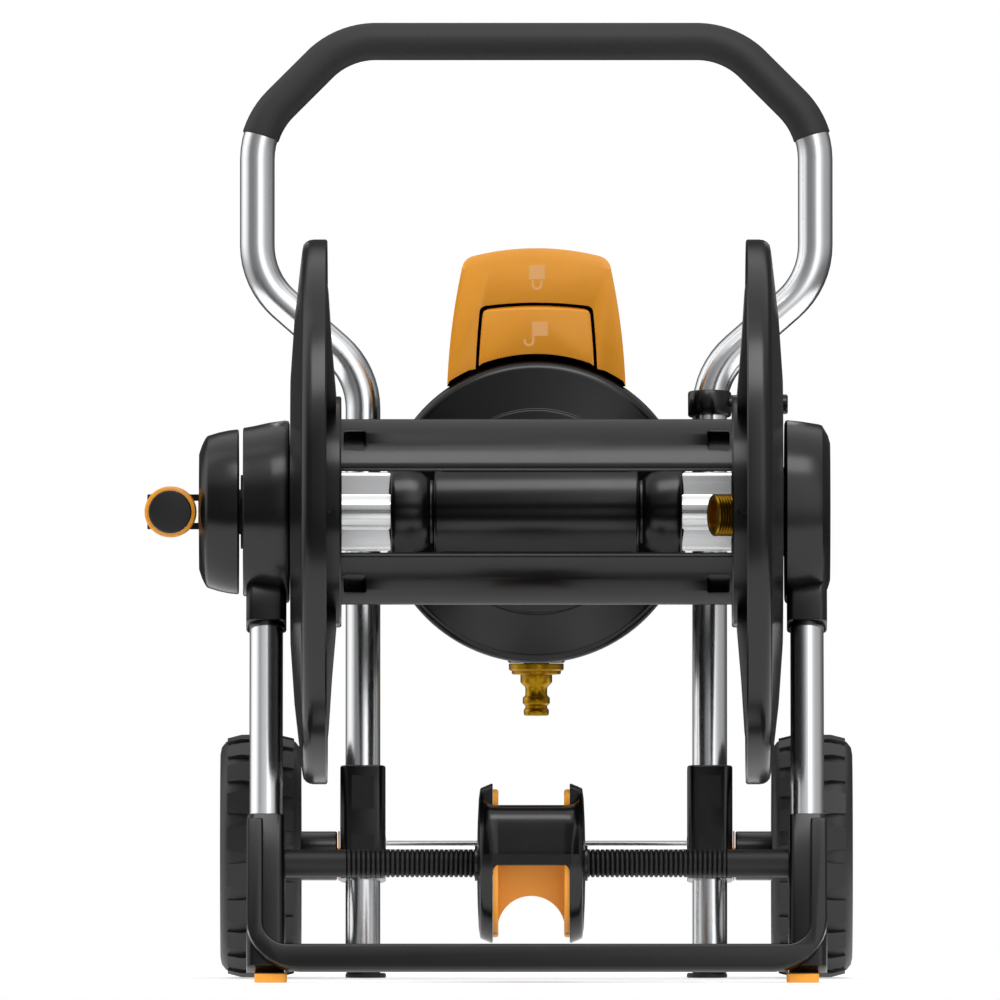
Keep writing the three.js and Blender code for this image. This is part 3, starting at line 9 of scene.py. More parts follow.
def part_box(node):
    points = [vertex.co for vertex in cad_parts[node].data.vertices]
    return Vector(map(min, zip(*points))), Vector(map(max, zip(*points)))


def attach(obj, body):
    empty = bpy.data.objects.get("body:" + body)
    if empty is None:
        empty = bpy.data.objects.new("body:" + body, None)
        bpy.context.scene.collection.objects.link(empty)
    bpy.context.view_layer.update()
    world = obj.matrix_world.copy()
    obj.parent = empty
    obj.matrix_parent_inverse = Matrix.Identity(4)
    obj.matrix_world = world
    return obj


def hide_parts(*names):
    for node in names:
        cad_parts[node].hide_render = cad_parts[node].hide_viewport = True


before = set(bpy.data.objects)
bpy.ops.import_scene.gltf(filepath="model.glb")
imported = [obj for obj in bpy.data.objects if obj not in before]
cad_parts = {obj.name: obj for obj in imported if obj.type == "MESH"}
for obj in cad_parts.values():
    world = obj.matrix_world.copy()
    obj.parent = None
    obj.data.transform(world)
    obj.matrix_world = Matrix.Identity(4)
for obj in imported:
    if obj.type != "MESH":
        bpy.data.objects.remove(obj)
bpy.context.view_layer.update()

# ---- Handle tube ----------------------------------------------------------------------------
# One aluminium tube, bent into a wide loop that leans back. It is drawn bright and lacquered,
# carries the whole cart, and its two ends stand on the ground.
TUBE_R = 10.9
TUBE_X = 108.75
AXLE_Y = 192.0
AXLE_Z = 76.25
HANDLE_LEAN = radians(7)
HANDLE_BEND = 50.0
HANDLE_CORNERS = [(TUBE_X, 3.3), (TUBE_X, 379), (175.2, 437), (175.2, 533.8), (121.6, 587.5)]

tube_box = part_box("handle_tube")
hub_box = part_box("flange_right")
MIDDLE = Vector(((tube_box[0][0] + tube_box[1][0]) / 2, (hub_box[0][1] + hub_box[1][1]) / 2, 0))
HUB_Z = 1000 * (hub_box[0][2] + hub_box[1][2]) / 2


def handle_y(z):
    """How far behind the drum's axle the leaning handle is at that height."""
    return AXLE_Y + (z - AXLE_Z) * tan(HANDLE_LEAN)


def bent_path(corners, radius, step=radians(6)):
    """Points of a path with round bends, each with the direction in which it runs there."""
    points = [(corners[0], (corners[1] - corners[0]).normalized())]
    for before, corner, after in zip(corners, corners[1:], corners[2:]):
        into, out = (corner - before).normalized(), (after - corner).normalized()
        turn = acos(max(-1, min(1, into.dot(out))))
        start = corner - into * radius * tan(turn / 2)
        inward = (out - into * into.dot(out)).normalized()
        steps = max(2, round(turn / step))
        for k in range(steps + 1):
            a = turn * k / steps
            point = start + inward * radius * (1 - cos(a)) + into * radius * sin(a)
            points.append((point, into * cos(a) + inward * sin(a)))
    points.append((corners[-1], (corners[-1] - corners[-2]).normalized()))
    return points


def tube(bm, path, radius, sides=48):
    """A round bar along a path: a circle is extruded from each point to the next and turned."""
    first, heading = path[0]
    facing = Vector((0, 0, 1)).rotation_difference(heading).to_matrix().to_4x4()
    start = Matrix.Translation(first) @ facing
    ring = bmesh.ops.create_circle(bm, cap_ends=True, radius=radius, segments=sides, matrix=start)
    edges = [e for e in bm.edges if all(v in ring["verts"] for v in e.verts)]
    for (a, before), (b, after) in zip(path, path[1:]):
        grown = bmesh.ops.extrude_edge_only(bm, edges=edges)["geom"]
        verts = [g for g in grown if isinstance(g, bmesh.types.BMVert)]
        edges = [g for g in grown if isinstance(g, bmesh.types.BMEdge)]
        turn = before.rotation_difference(after).to_matrix()
        bmesh.ops.rotate(bm, verts=verts, cent=a, matrix=turn)
        bmesh.ops.translate(bm, verts=verts, vec=b - a)
    bmesh.ops.contextual_create(bm, geom=edges)


def soften(bm, width, segments=3, angle=radians(28)):
    """Rounds every edge that is sharper than the angle, as a mould or a tumbler leaves it."""
    bmesh.ops.recalc_face_normals(bm, faces=bm.faces)
    sharp = [e for e in bm.edges if len(e.link_faces) == 2 and e.calc_face_angle(0) > angle]
    bmesh.ops.bevel(
        bm, geom=sharp, offset=width, offset_type="OFFSET", segments=segments, profile=0.5,
        affect="EDGES", material=-1, clamp_overlap=True,
    )


def piece(name, bm, material, body, nodes=()):
    """Turns a finished mesh into a piece of the cart, on its body and in place of its nodes."""
    bmesh.ops.remove_doubles(bm, verts=bm.verts, dist=0.001)
    bmesh.ops.recalc_face_normals(bm, faces=bm.faces)
    bmesh.ops.scale(bm, verts=bm.verts, vec=(0.001, 0.001, 0.001))
    bmesh.ops.translate(bm, verts=bm.verts, vec=MIDDLE)
    mesh = bpy.data.meshes.new(name)
    bm.to_mesh(mesh)
    bm.free()
    mesh.shade_smooth()
    mesh.set_sharp_from_angle(angle=radians(38))
    mesh.materials.append(material)
    obj = bpy.data.objects.new(name, mesh)
    bpy.context.scene.collection.objects.link(obj)
    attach(obj, body)
    if nodes:
        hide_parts(*nodes)
    return obj


def hex_colour(text):
    """A linear colour from an sRGB hex value."""
    values = [int(text[i:i + 2], 16) / 255 for i in (1, 3, 5)]
    return (*[v / 12.92 if v <= 0.04045 else ((v + 0.055) / 1.055) ** 2.4 for v in values], 1)


def add(material, kind, settings, inputs):
    """Adds a node. An input is a value, or a node and the name of its output."""
    tree = material.node_tree
    node = tree.nodes.new("ShaderNode" + kind)
    for key, value in settings.items():
        setattr(node, key, value)
    for key, value in inputs.items():
        if isinstance(value, tuple) and isinstance(value[0], bpy.types.Node):
            tree.links.new(value[0].outputs[value[1]], node.inputs[key])
        else:
            node.inputs[key].default_value = value
    return node


def surface(name, settings):
    """A material of that name whose shader has these settings."""
    material = bpy.data.materials.new(name)
    material.use_nodes = True
    shader = material.node_tree.nodes["Principled BSDF"]
    for key, value in settings.items():
        shader.inputs[key].default_value = value
    return material, shader


def join(material, node, output, shader, socket):
    material.node_tree.links.new(node.outputs[output], shader.inputs[socket])


# Drawn aluminium tube, lacquered: a mirror that is a little blurred, with faint draw lines
# along it. The lines are 0.6 mm apart here so that they show at all.
bright_tube, shader = surface("drawn_aluminium", {"Metallic": 1.0, "Base Color": hex_colour("#dfe0e2")})
where = add(bright_tube, "TexCoord", {}, {})
lines = add(bright_tube, "Mapping", {}, {"Vector": (where, "Object"), "Scale": (1600, 1600, 14)})
draw = add(bright_tube, "TexNoise", {}, {"Vector": (lines, "Vector"), "Scale": 1.0, "Detail": 2.0})
haze = add(
    bright_tube, "MapRange", {}, {"Value": (draw, "Fac"), "To Min": 0.15, "To Max": 0.25},
)
join(bright_tube, haze, "Result", shader, "Roughness")
relief = add(
    bright_tube, "Bump", {}, {"Height": (draw, "Fac"), "Strength": 0.05, "Distance": 0.0001},
)
join(bright_tube, relief, "Normal", shader, "Normal")


def on_handle(corners):
    return [Vector((x, handle_y(z), z)) for x, z in corners]


left_corners = [(-x, z) for x, z in reversed(HANDLE_CORNERS)]
handle_path = bent_path(on_handle(HANDLE_CORNERS + left_corners), HANDLE_BEND)
bm = bmesh.new()
tube(bm, handle_path, TUBE_R)
piece("tube_loop", bm, bright_tube, "frame", ["handle_tube"])

# ---- Foam grip ------------------------------------------------------------------------------
# A sleeve of closed-cell foam rubber, pushed over the loop's top. It follows every bend and
# ends square to the tube, with a soft rounded edge.
GRIP_R = 11.75
GRIP_LOW_Z = 527.0
fine_path = bent_path(on_handle(HANDLE_CORNERS + left_corners), HANDLE_BEND, radians(1.5))
over_grip = [k for k, (point, _) in enumerate(fine_path) if point.z > GRIP_LOW_Z]
grip_path = fine_path[over_grip[0]:over_grip[-1] + 1]
grip_path = grip_path[:1] + grip_path[1:-1:3] + grip_path[-1:]
bm = bmesh.new()
tube(bm, grip_path, GRIP_R)
soften(bm, 0.7, angle=radians(50))

# Closed-cell foam: matt and dark, with a skin of fine cells, drawn 1 mm wide here.
foam, shader = surface("foam_rubber", {"Base Color": hex_colour("#1c1c1d"), "Roughness": 0.62, "IOR": 1.5})
where = add(foam, "TexCoord", {}, {})
cells = add(foam, "TexNoise", {}, {"Vector": (where, "Object"), "Scale": 900.0, "Detail": 4.0})
tone = add(
    foam, "MixRGB", {},
    {"Fac": (cells, "Fac"), "Color1": hex_colour("#161617"), "Color2": hex_colour("#242425")},
)
join(foam, tone, "Color", shader, "Base Color")
relief = add(foam, "Bump", {}, {"Height": (cells, "Fac"), "Strength": 0.35, "Distance": 0.0003})
join(foam, relief, "Normal", shader, "Normal")
piece("grip_sleeve", bm, foam, "frame", ["handle_grip"])

# ---- Foot caps of the handle tube -----------------------------------------------------------
# Moulded plugs that close the tube's ends. The flange under each stands flat on the ground.


def spun(bm, outline, matrix, steps=64):
    """Spins an outline of (radius, height) points round its axis and puts the body in place."""
    kept = set(bm.verts)
    verts = [bm.verts.new((r, 0, h)) for r, h in outline]
    edges = [bm.edges.new(pair) for pair in zip(verts, verts[1:])]
    if outline[0][0] > 0 and outline[-1][0] > 0:
        edges.append(bm.edges.new((verts[-1], verts[0])))
    bmesh.ops.spin(
        bm, geom=verts + edges, cent=(0, 0, 0), axis=(0, 0, 1), angle=2 * pi, steps=steps,
        use_merge=True,
    )
    bmesh.ops.remove_doubles(bm, verts=[v for v in bm.verts if v not in kept], dist=0.0005)
    new = [v for v in bm.verts if v not in kept]
    bmesh.ops.transform(bm, matrix=matrix, verts=new)
    return new


# Moulded black plastic, semi-gloss: smooth from a polished mould, with a very slight unevenness
# in its shine.
gloss_black, shader = surface("moulded_pp_semi_gloss", {"Base Color": hex_colour("#060607"), "IOR": 1.44})
where = add(gloss_black, "TexCoord", {}, {})
flow = add(gloss_black, "TexNoise", {}, {"Vector": (where, "Object"), "Scale": 45.0, "Detail": 3.0})
shine = add(gloss_black, "MapRange", {}, {"Value": (flow, "Fac"), "To Min": 0.17, "To Max": 0.27})
join(gloss_black, shine, "Result", shader, "Roughness")
grain = add(gloss_black, "TexNoise", {}, {"Vector": (where, "Object"), "Scale": 1500.0, "Detail": 2.0})
relief = add(gloss_black, "Bump", {}, {"Height": (grain, "Fac"), "Strength": 0.06, "Distance": 0.0002})
join(gloss_black, relief, "Normal", shader, "Normal")

# Moulded black plastic with a spark-eroded grain: dull and slightly grey.
matt_black, shader = surface("moulded_pp_grained", {"Base Color": hex_colour("#0e0e0f"), "IOR": 1.42})
where = add(matt_black, "TexCoord", {}, {})
grain = add(matt_black, "TexNoise", {}, {"Vector": (where, "Object"), "Scale": 1200.0, "Detail": 3.0})
shine = add(matt_black, "MapRange", {}, {"Value": (grain, "Fac"), "To Min": 0.4, "To Max": 0.56})
join(matt_black, shine, "Result", shader, "Roughness")
relief = add(matt_black, "Bump", {}, {"Height": (grain, "Fac"), "Strength": 0.22, "Distance": 0.0002})
join(matt_black, relief, "Normal", shader, "Normal")

for side, hand in ((1, "right"), (-1, "left")):
    foot = Matrix.Translation((side * (TUBE_X - 1.8), handle_y(0), 0))
    bm = bmesh.new()
    spun(bm, [(0, 0), (12.2, 0), (12.7, 0.5), (12.7, 2.2), (11.9, 3.0), (0, 3.0)], foot, 48)
    piece(f"tube_foot_{hand}", bm, matt_black, "frame", [f"foot_cap_{hand}"])

# ---- Axle brackets --------------------------------------------------------------------------
# Glass-filled moulded sleeves, screwed to the tube, with the wheel axle through them. Each has a
# raised panel on its face and a round spigot for the cross tube.
BRACKET_LOW_Z, BRACKET_HIGH_Z = 60.6, 131.9


def leaning(x, z, angle=-HANDLE_LEAN):
    """Stands a body that is drawn upright at the origin on the leaning tube at that height."""
    return Matrix.Translation((x, handle_y(z), z)) @ Matrix.Rotation(angle, 4, "X")


def block(bm, low, high, matrix=Matrix()):
    """A box between two corners."""
    low, high = Vector(low), Vector(high)
    shape = Matrix.Translation((low + high) / 2) @ Matrix.Diagonal((*(high - low), 1))
    return bmesh.ops.create_cube(bm, size=1, matrix=matrix @ shape)["verts"]


def screw_head(bm, matrix, radius=3.6):
    """A pan head with a hexagon socket, standing on its face along Z."""
    spun(bm, [(radius, -0.6), (radius, 0.9), (radius * 0.8, 1.8), (radius * 0.5, 1.9)], matrix, 24)
    cap = bmesh.ops.create_circle(bm, cap_ends=False, radius=radius * 0.5, segments=24,
                                  matrix=matrix @ Matrix.Translation((0, 0, 1.9)))["verts"]
    rim = [e for e in bm.edges if all(v in cap for v in e.verts)]
    socket = bmesh.ops.create_circle(bm, cap_ends=True, radius=radius * 0.42, segments=6,
                                     matrix=matrix @ Matrix.Translation((0, 0, 0.8)))["verts"]
    inner = [e for e in bm.edges if all(v in socket for v in e.verts)]
    bmesh.ops.bridge_loops(bm, edges=rim + inner)


for side, hand in ((1, "right"), (-1, "left")):
    middle = (BRACKET_LOW_Z + BRACKET_HIGH_Z) / 2
    half = (BRACKET_HIGH_Z - BRACKET_LOW_Z) / 2
    bm = bmesh.new()
    block(bm, (-14.2, -15, -half), (14.2, 15, half), leaning(side * TUBE_X, middle))
    upright = [e for e in bm.edges if abs((e.verts[0].co - e.verts[1].co).z) > half]
    bmesh.ops.bevel(bm, geom=upright, offset=5.5, offset_type="OFFSET", segments=6, profile=0.5,
                    affect="EDGES", material=-1, clamp_overlap=True)
    soften(bm, 1.2)
    panel = leaning(side * TUBE_X, middle) @ Matrix.Translation((0, -14.9, 0))
    for low, high in (((-7, -0.9, 8), (7, 0.5, 29)), ((-7, -0.9, -29), (7, 0.5, -8))):
        block(bm, low, high, panel @ Matrix.Translation((0, 0.6, 0)))
    hub = Matrix.Translation((side * (TUBE_X - 14), AXLE_Y, AXLE_Z)) @ Matrix.Rotation(-side * pi / 2, 4, "Y")
    spun(bm, [(0, -1), (12.5, -1), (12.5, 3), (11.6, 4), (0, 4)],
         Matrix.Translation((side * 3.6, 0, 0)) @ hub @ Matrix.Translation((0, 0, 0)), 40)
    for height in (-19, 19):
        screw_head(bm, leaning(side * TUBE_X, middle) @ Matrix.Translation((0, 15.0, height)) @ Matrix.Rotation(-pi / 2, 4, "X"))
    piece(f"axle_block_{hand}", bm, gloss_black, "frame", [f"axle_bracket_{hand}"])

# ---- Cross tube and axle --------------------------------------------------------------------
# A bright tube between the two brackets keeps them apart. The steel axle runs through it from
# wheel to wheel and is closed by a push-on cap in each hub.


def across(x, y, z, side=1):
    """Lays a body that is drawn along Z along the cart's width, starting at x."""
    return Matrix.Translation((x, y, z)) @ Matrix.Rotation(side * pi / 2, 4, "Y")


bm = bmesh.new()
spun(bm, [(8, -94.2), (9.5, -94.2), (9.5, 94.2), (8, 94.2)], across(0, AXLE_Y, AXLE_Z), 48)
piece("spacer_tube", bm, bright_tube, "frame", ["axle_cross_tube"])

# Turned steel, dull: fine rings from the lathe, drawn 0.4 mm apart.
turned_steel, shader = surface("turned_steel", {"Metallic": 1.0, "Base Color": hex_colour("#a9abae")})
where = add(turned_steel, "TexCoord", {}, {})
rings = add(turned_steel, "TexNoise", {}, {"Vector": (where, "Object"), "Scale": 800.0, "Detail": 2.0})
dull = add(turned_steel, "MapRange", {}, {"Value": (rings, "Fac"), "To Min": 0.28, "To Max": 0.42})
join(turned_steel, dull, "Result", shader, "Roughness")


def refinish(node, material):
    """Gives a CAD node that stays in the scene a finished material."""
    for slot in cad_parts[node].material_slots:
        slot.material = material


for node in ("axle_rod", "lock_pin", "lock_bolt", "swivel_spindle", "crank_pin"):
    refinish(node, turned_steel)

# ---- Wheels ---------------------------------------------------------------------------------
# A moulded spoked wheel with a hollow black tyre. The tread is two rows of blocks, staggered, with
# shoulders that wrap over the edge.
WHEEL_R = 76.2
TYRE_IN_X, TYRE_OUT_X = 147.0, 198.4
RIM_R = 56.0
SPOKES = 6
BLOCKS = 20

# Tyre compound: near black and dull, with a moulded grain that catches a little light.
tyre_rubber, shader = surface("moulded_tyre_rubber", {"Base Color": hex_colour("#17171a"), "IOR": 1.52})
where = add(tyre_rubber, "TexCoord", {}, {})
grain = add(tyre_rubber, "TexNoise", {}, {"Vector": (where, "Object"), "Scale": 700.0, "Detail": 4.0})
shine = add(tyre_rubber, "MapRange", {}, {"Value": (grain, "Fac"), "To Min": 0.38, "To Max": 0.55})
join(tyre_rubber, shine, "Result", shader, "Roughness")
relief = add(tyre_rubber, "Bump", {}, {"Height": (grain, "Fac"), "Strength": 0.3, "Distance": 0.0003})
join(tyre_rubber, relief, "Normal", shader, "Normal")

# Moulded orange plastic, semi-gloss: an even warm orange, slightly lighter where it is thin.
orange, shader = surface("moulded_abs_orange", {"IOR": 1.53, "Subsurface Weight": 0.05, "Subsurface Scale": 0.002})
where = add(orange, "TexCoord", {}, {})
flow = add(orange, "TexNoise", {}, {"Vector": (where, "Object"), "Scale": 60.0, "Detail": 2.0})
tone = add(orange, "MixRGB", {}, {"Fac": (flow, "Fac"), "Color1": hex_colour("#f09c1c"), "Color2": hex_colour("#f6a52a")})
join(orange, tone, "Color", shader, "Base Color")
grain = add(orange, "TexNoise", {}, {"Vector": (where, "Object"), "Scale": 1400.0, "Detail": 2.0})
shine = add(orange, "MapRange", {}, {"Value": (grain, "Fac"), "To Min": 0.34, "To Max": 0.46})
join(orange, shine, "Result", shader, "Roughness")
relief = add(orange, "Bump", {}, {"Height": (grain, "Fac"), "Strength": 0.12, "Distance": 0.0002})
join(orange, relief, "Normal", shader, "Normal")


def outline_slab(bm, points, depth, matrix):
    """A flat outline raised by its depth along Z, then put in place."""
    base = bm.faces.new([bm.verts.new((*p, 0)) for p in points])
    grown = bmesh.ops.extrude_face_region(bm, geom=[base])["geom"]
    top = [g for g in grown if isinstance(g, bmesh.types.BMVert)]
    bmesh.ops.translate(bm, verts=top, vec=(0, 0, depth))
    bmesh.ops.transform(bm, matrix=matrix, verts=top + list(base.verts))
    return top + list(base.verts)


for side, hand in ((1, "right"), (-1, "left")):
    inner = across(side * TYRE_IN_X, AXLE_Y, AXLE_Z, side)
    bm = bmesh.new()
    spun(bm, [
        (56.4, 5), (60, 1.6), (64, 0.4), (68, 1.2), (71.5, 4), (73.2, 8), (73.6, 14), (73.6, 37.4),
        (73.2, 43.4), (71.5, 47.4), (68, 50.2), (64, 51), (60, 49.8), (56.4, 46.4),
    ], inner, 96)
    tread = [[], []]
    for row in (0, 1):
        for k in range(BLOCKS):
            spread = 2 * pi / BLOCKS
            turn = Matrix.Rotation(spread * (k + row / 2), 4, "Z")
            near = 26.9 if row else 24.5
            far = 46.5 if row else 4.9
            wedge = [(near, -0.41), (near + (far - near) * 0.55, -0.33), (far, -0.30), (far, 0.30),
                     (near + (far - near) * 0.55, 0.33), (near, 0.41)]
            foot = [bm.verts.new(turn @ Vector((72.6 * cos(a * spread), 72.6 * sin(a * spread), h)))
                    for h, a in wedge]
            base = bm.faces.new(foot)
            grown = bmesh.ops.extrude_face_region(bm, geom=[base])["geom"]
            top = [g for g in grown if isinstance(g, bmesh.types.BMVert)]
            for v in top:
                shoulder = abs(v.co.z - 25.7) > 17
                reach = 73.9 if shoulder else WHEEL_R - 0.1
                flat = Vector((v.co.x, v.co.y, 0)).normalized() * reach
                v.co = Vector((flat.x * 0.985 + 0.015 * flat.x, flat.y, v.co.z))
            tread[row] += foot + top
            bmesh.ops.transform(bm, matrix=inner, verts=foot + top)
    bm.normal_update()
    piece(f"tyre_{hand}", bm, tyre_rubber, f"wheel_{hand}", [f"wheel_tyre_{hand}"])

    bm = bmesh.new()
    spun(bm, [
        (50.8, 5.4), (55.6, 5.4), (55.9, 6.5), (55.2, 9), (55.2, 42.4), (55.9, 45), (55.6, 46),
        (50.8, 46), (50.2, 44.5), (51.4, 30), (51.4, 21), (50.2, 7),
    ], inner, 96)
    start = 124.8 - TYRE_IN_X
    spun(bm, [
        (5.6, start), (14.8, start), (15.4, start + 0.8), (15.4, 38.6), (14.8, 39.3), (9.6, 39.3),
        (9.6, 37), (5.6, 37),
    ], inner, 64)
    for k in range(SPOKES):
        turn = inner @ Matrix.Rotation(2 * pi * k / SPOKES, 4, "Z") @ Matrix.Translation((0, 0, 23.2))
        arm = [(12, -8.5), (20, -6.2), (34, -5.2), (46, -6.5), (52, -11), (52, 11), (46, 6.5),
               (34, 5.2), (20, 6.2), (12, 8.5)]
        outline_slab(bm, arm, 5, turn)
        outline_slab(bm, [(13, -1.5), (51.5, -1.5), (51.5, 1.5), (13, 1.5)], 13, turn @ Matrix.Translation((0, 0, -4)))
    soften(bm, 0.6, 2)
    piece(f"spoked_rim_{hand}", bm, gloss_black, f"wheel_{hand}", [f"wheel_rim_{hand}"])

    bm = bmesh.new()
    cap = across(side * 186.8, AXLE_Y, AXLE_Z, side)
    spun(bm, [(0, -3), (4, -3), (8.9, 0), (8.9, 3), (8, 5), (5, 6.4), (0, 6.8)], cap, 40)
    piece(f"hub_cap_{hand}", bm, gloss_black, "frame", [f"axle_cap_{hand}"])

    refinish(f"thrust_washer_{hand}", orange)

# ---- Beam and clamps ------------------------------------------------------------------------
# A bright extruded aluminium bar behind the drum, with a round rib along its upper front. It carries
# the bearing housings, and two moulded clamps hold it to the handle tube.
BEAM_HALF = 152.0
BEAM_FRONT_Y, BEAM_BACK_Y = 187.2, 203.8
BEAM_LOW_Z, BEAM_HIGH_Z = 267.2, 316.8

# Extruded aluminium, bright: drawing lines run along the bar, 1 mm apart here so that they show.
drawn_beam, shader = surface("drawn_aluminium_beam", {"Metallic": 1.0, "Base Color": hex_colour("#d9dadb")})
where = add(drawn_beam, "TexCoord", {}, {})
along = add(drawn_beam, "Mapping", {}, {"Vector": (where, "Object"), "Scale": (4, 900, 900)})
lines = add(drawn_beam, "TexNoise", {}, {"Vector": (along, "Vector"), "Scale": 1.0, "Detail": 2.0})
shine = add(drawn_beam, "MapRange", {}, {"Value": (lines, "Fac"), "To Min": 0.16, "To Max": 0.3})
join(drawn_beam, shine, "Result", shader, "Roughness")

bm = bmesh.new()
profile = [
    (BEAM_BACK_Y, BEAM_LOW_Z), (BEAM_FRONT_Y + 2, BEAM_LOW_Z), (BEAM_FRONT_Y, BEAM_LOW_Z + 2),
    (BEAM_FRONT_Y - 0.3, 281.5), (184.5, 283.8), (181.9, 287.2), (180.9, 292), (181.9, 296.8),
    (184.5, 300.2), (BEAM_FRONT_Y - 0.4, 302.5), (BEAM_FRONT_Y + 0.8, BEAM_HIGH_Z - 2),
    (BEAM_FRONT_Y + 2, BEAM_HIGH_Z), (BEAM_BACK_Y, BEAM_HIGH_Z),
]
outline_slab(bm, [(z, y) for y, z in profile], 2 * BEAM_HALF,
             Matrix(((0, 0, 1, -BEAM_HALF), (0, 1, 0, 0), (1, 0, 0, 0), (0, 0, 0, 1))))
beam_edges = [e for e in bm.edges if abs((e.verts[0].co - e.verts[1].co).x) > BEAM_HALF]
bmesh.ops.bevel(bm, geom=beam_edges, offset=0.8, offset_type="OFFSET", segments=2, profile=0.5,
                affect="EDGES", material=-1, clamp_overlap=True)
piece("beam_bar", bm, drawn_beam, "frame", ["beam"])

for side, hand in ((1, "right"), (-1, "left")):
    bm = bmesh.new()
    tube_y = handle_y(HUB_Z)
    place = Matrix.Translation((side * TUBE_X, 0, HUB_Z))
    block(bm, (-13, BEAM_BACK_Y + 0.5, -20), (13, tube_y + 14.9, 20), place)
    upright = [e for e in bm.edges if abs((e.verts[0].co - e.verts[1].co).z) > 30
               and min(v.co.y for v in e.verts) > tube_y]
    bmesh.ops.bevel(bm, geom=upright, offset=6, offset_type="OFFSET", segments=6, profile=0.5,
                    affect="EDGES", material=-1, clamp_overlap=True)
    soften(bm, 1.0)
    piece(f"clamp_block_{hand}", bm, gloss_black, "frame", [f"tube_clamp_{hand}"])

# ---- Accessory peg --------------------------------------------------------------------------
# A moulded ring on the right tube with a short round peg, where a hose end or a nozzle is hung.
PEG_Z = 359.5
PEG_R = 6.2
RING_H = 7.7
PEG_END_X = 158.0
bm = bmesh.new()
ring_place = leaning(TUBE_X, PEG_Z)
spun(bm, [(11.0, -RING_H), (13.0, -RING_H), (13.6, -RING_H + 0.8), (13.6, RING_H - 0.8), (13.0, RING_H),
          (11.0, RING_H)], ring_place, 48)
spun(bm, [(0, 12.4), (PEG_R - 0.4, 12.4), (PEG_R - 0.4, PEG_END_X - TUBE_X - 6),
          (PEG_R, PEG_END_X - TUBE_X - 5), (PEG_R, PEG_END_X - TUBE_X - 1), (PEG_R - 1, PEG_END_X - TUBE_X - 0.1),
          (0, PEG_END_X - TUBE_X - 0.1)], across(TUBE_X, handle_y(PEG_Z), PEG_Z), 40)
piece("hanging_peg", bm, gloss_black, "frame", ["accessory_peg"])

# ---- Swivel housing -------------------------------------------------------------------------
# A large glossy moulded dish on the middle of the beam with a barrel across its front, which
# hides the beam's middle. A lug at its top carries the lock.
SWIVEL_R = 95.0
BARREL_R = 36.0
BARREL_Y = 210.0
bm = bmesh.new()
facing_front = Matrix.Translation((0, 0, HUB_Z)) @ Matrix.Rotation(pi / 2, 4, "X")
spun(bm, [
    (0, -184), (62.5, -184), (64, -184.4), (64.6, -186), (89, -186.2), (91.4, -186.9), (94.4, -189.8),
    (SWIVEL_R, -191.5), (SWIVEL_R, -206), (93, -207.5), (0, -207.5),
], facing_front, 128)
bmesh.ops.scale(bm, verts=bm.verts, vec=(1.02, 1, 1))
barrel = across(0, BARREL_Y, HUB_Z)
spun(bm, [
    (0, -91.4), (34.2, -91.4), (35.2, -90.4), (35.6, -88), (35.4, -80), (34.2, -72), (32.2, -68.2),
    (31, -66.6), (31, -64.8), (35, -64.2), (BARREL_R, -63), (BARREL_R, 63), (35, 64.2), (31, 64.8),
    (31, 66.6), (32.2, 68.2), (34.2, 72), (35.4, 80), (35.6, 88), (35.2, 90.4), (34.2, 91.4), (0, 91.4),
], barrel, 96)
bmesh.ops.bisect_plane(bm, geom=bm.verts[:] + bm.edges[:] + bm.faces[:], plane_co=(0, 211.6, 0),
                       plane_no=(0, 1, 0), clear_outer=True)
bmesh.ops.holes_fill(bm, edges=[e for e in bm.edges if e.is_boundary])
block(bm, (-8.8, 200.6, HUB_Z + 70), (8.8, 232.8, 419.8))
block(bm, (-43.8, 214.6, 386.2), (43.8, 217.8, 426.8))
soften(bm, 0.5, 2)
piece("swivel_dish", bm, gloss_black, "frame", ["swivel_housing"])

# ---- Turntable and inlet --------------------------------------------------------------------
# The moulded round plate behind the dish turns with the water inlet. The inlet is a brass
# quick-connect nipple, turned from bar, that points down.
INLET_TOP_Z = 196.8
inlet_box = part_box("inlet_nipple")
INLET_Y = 1000 * ((inlet_box[0][1] + inlet_box[1][1]) / 2 - MIDDLE.y)

# Turned brass, gone a little olive outdoors: satin, mottled over 2 to 3 mm, with fine tool marks.
brass, shader = surface("turned_brass_weathered", {"Metallic": 1.0})
where = add(brass, "TexCoord", {}, {})
mottle = add(brass, "TexNoise", {}, {"Vector": (where, "Object"), "Scale": 420.0, "Detail": 5.0})
tone = add(brass, "MixRGB", {}, {"Fac": (mottle, "Fac"), "Color1": hex_colour("#8f6608"), "Color2": hex_colour("#c29520")})
join(brass, tone, "Color", shader, "Base Color")
shine = add(brass, "MapRange", {}, {"Value": (mottle, "Fac"), "To Min": 0.42, "To Max": 0.26})
join(brass, shine, "Result", shader, "Roughness")
marks = add(brass, "TexNoise", {}, {"Vector": (where, "Object"), "Scale": 1500.0, "Detail": 2.0})
relief = add(brass, "Bump", {}, {"Height": (marks, "Fac"), "Strength": 0.2, "Distance": 0.0002})
join(brass, relief, "Normal", shader, "Normal")

bm = bmesh.new()
spun(bm, [
    (4.5, 9), (4.5, -33), (6.6, -33), (7.7, -32.4), (7.95, -31.2), (7.95, -29.4), (7.5, -28.6), (6.9, -28.2),
    (6.9, -26.6), (7.6, -26), (8.45, -25.2), (8.55, -24.4), (8.55, -22), (8.3, -21.4), (7.2, -20.4),
    (6.9, -19.6), (6.9, -15.6), (7.3, -14.6), (9.6, -12.4), (10, -11.6), (10, -7.2), (14.6, -7),
    (15.4, -6.5), (15.5, -4.8), (16.6, -4.4), (17.2, -3.8), (17.3, -0.6), (16.8, -0.1), (8, -0.1), (8, 9),
], Matrix.Translation((0, INLET_Y, INLET_TOP_Z)), 72)
piece("inlet_spigot", bm, brass, "turntable", ["inlet_nipple"])

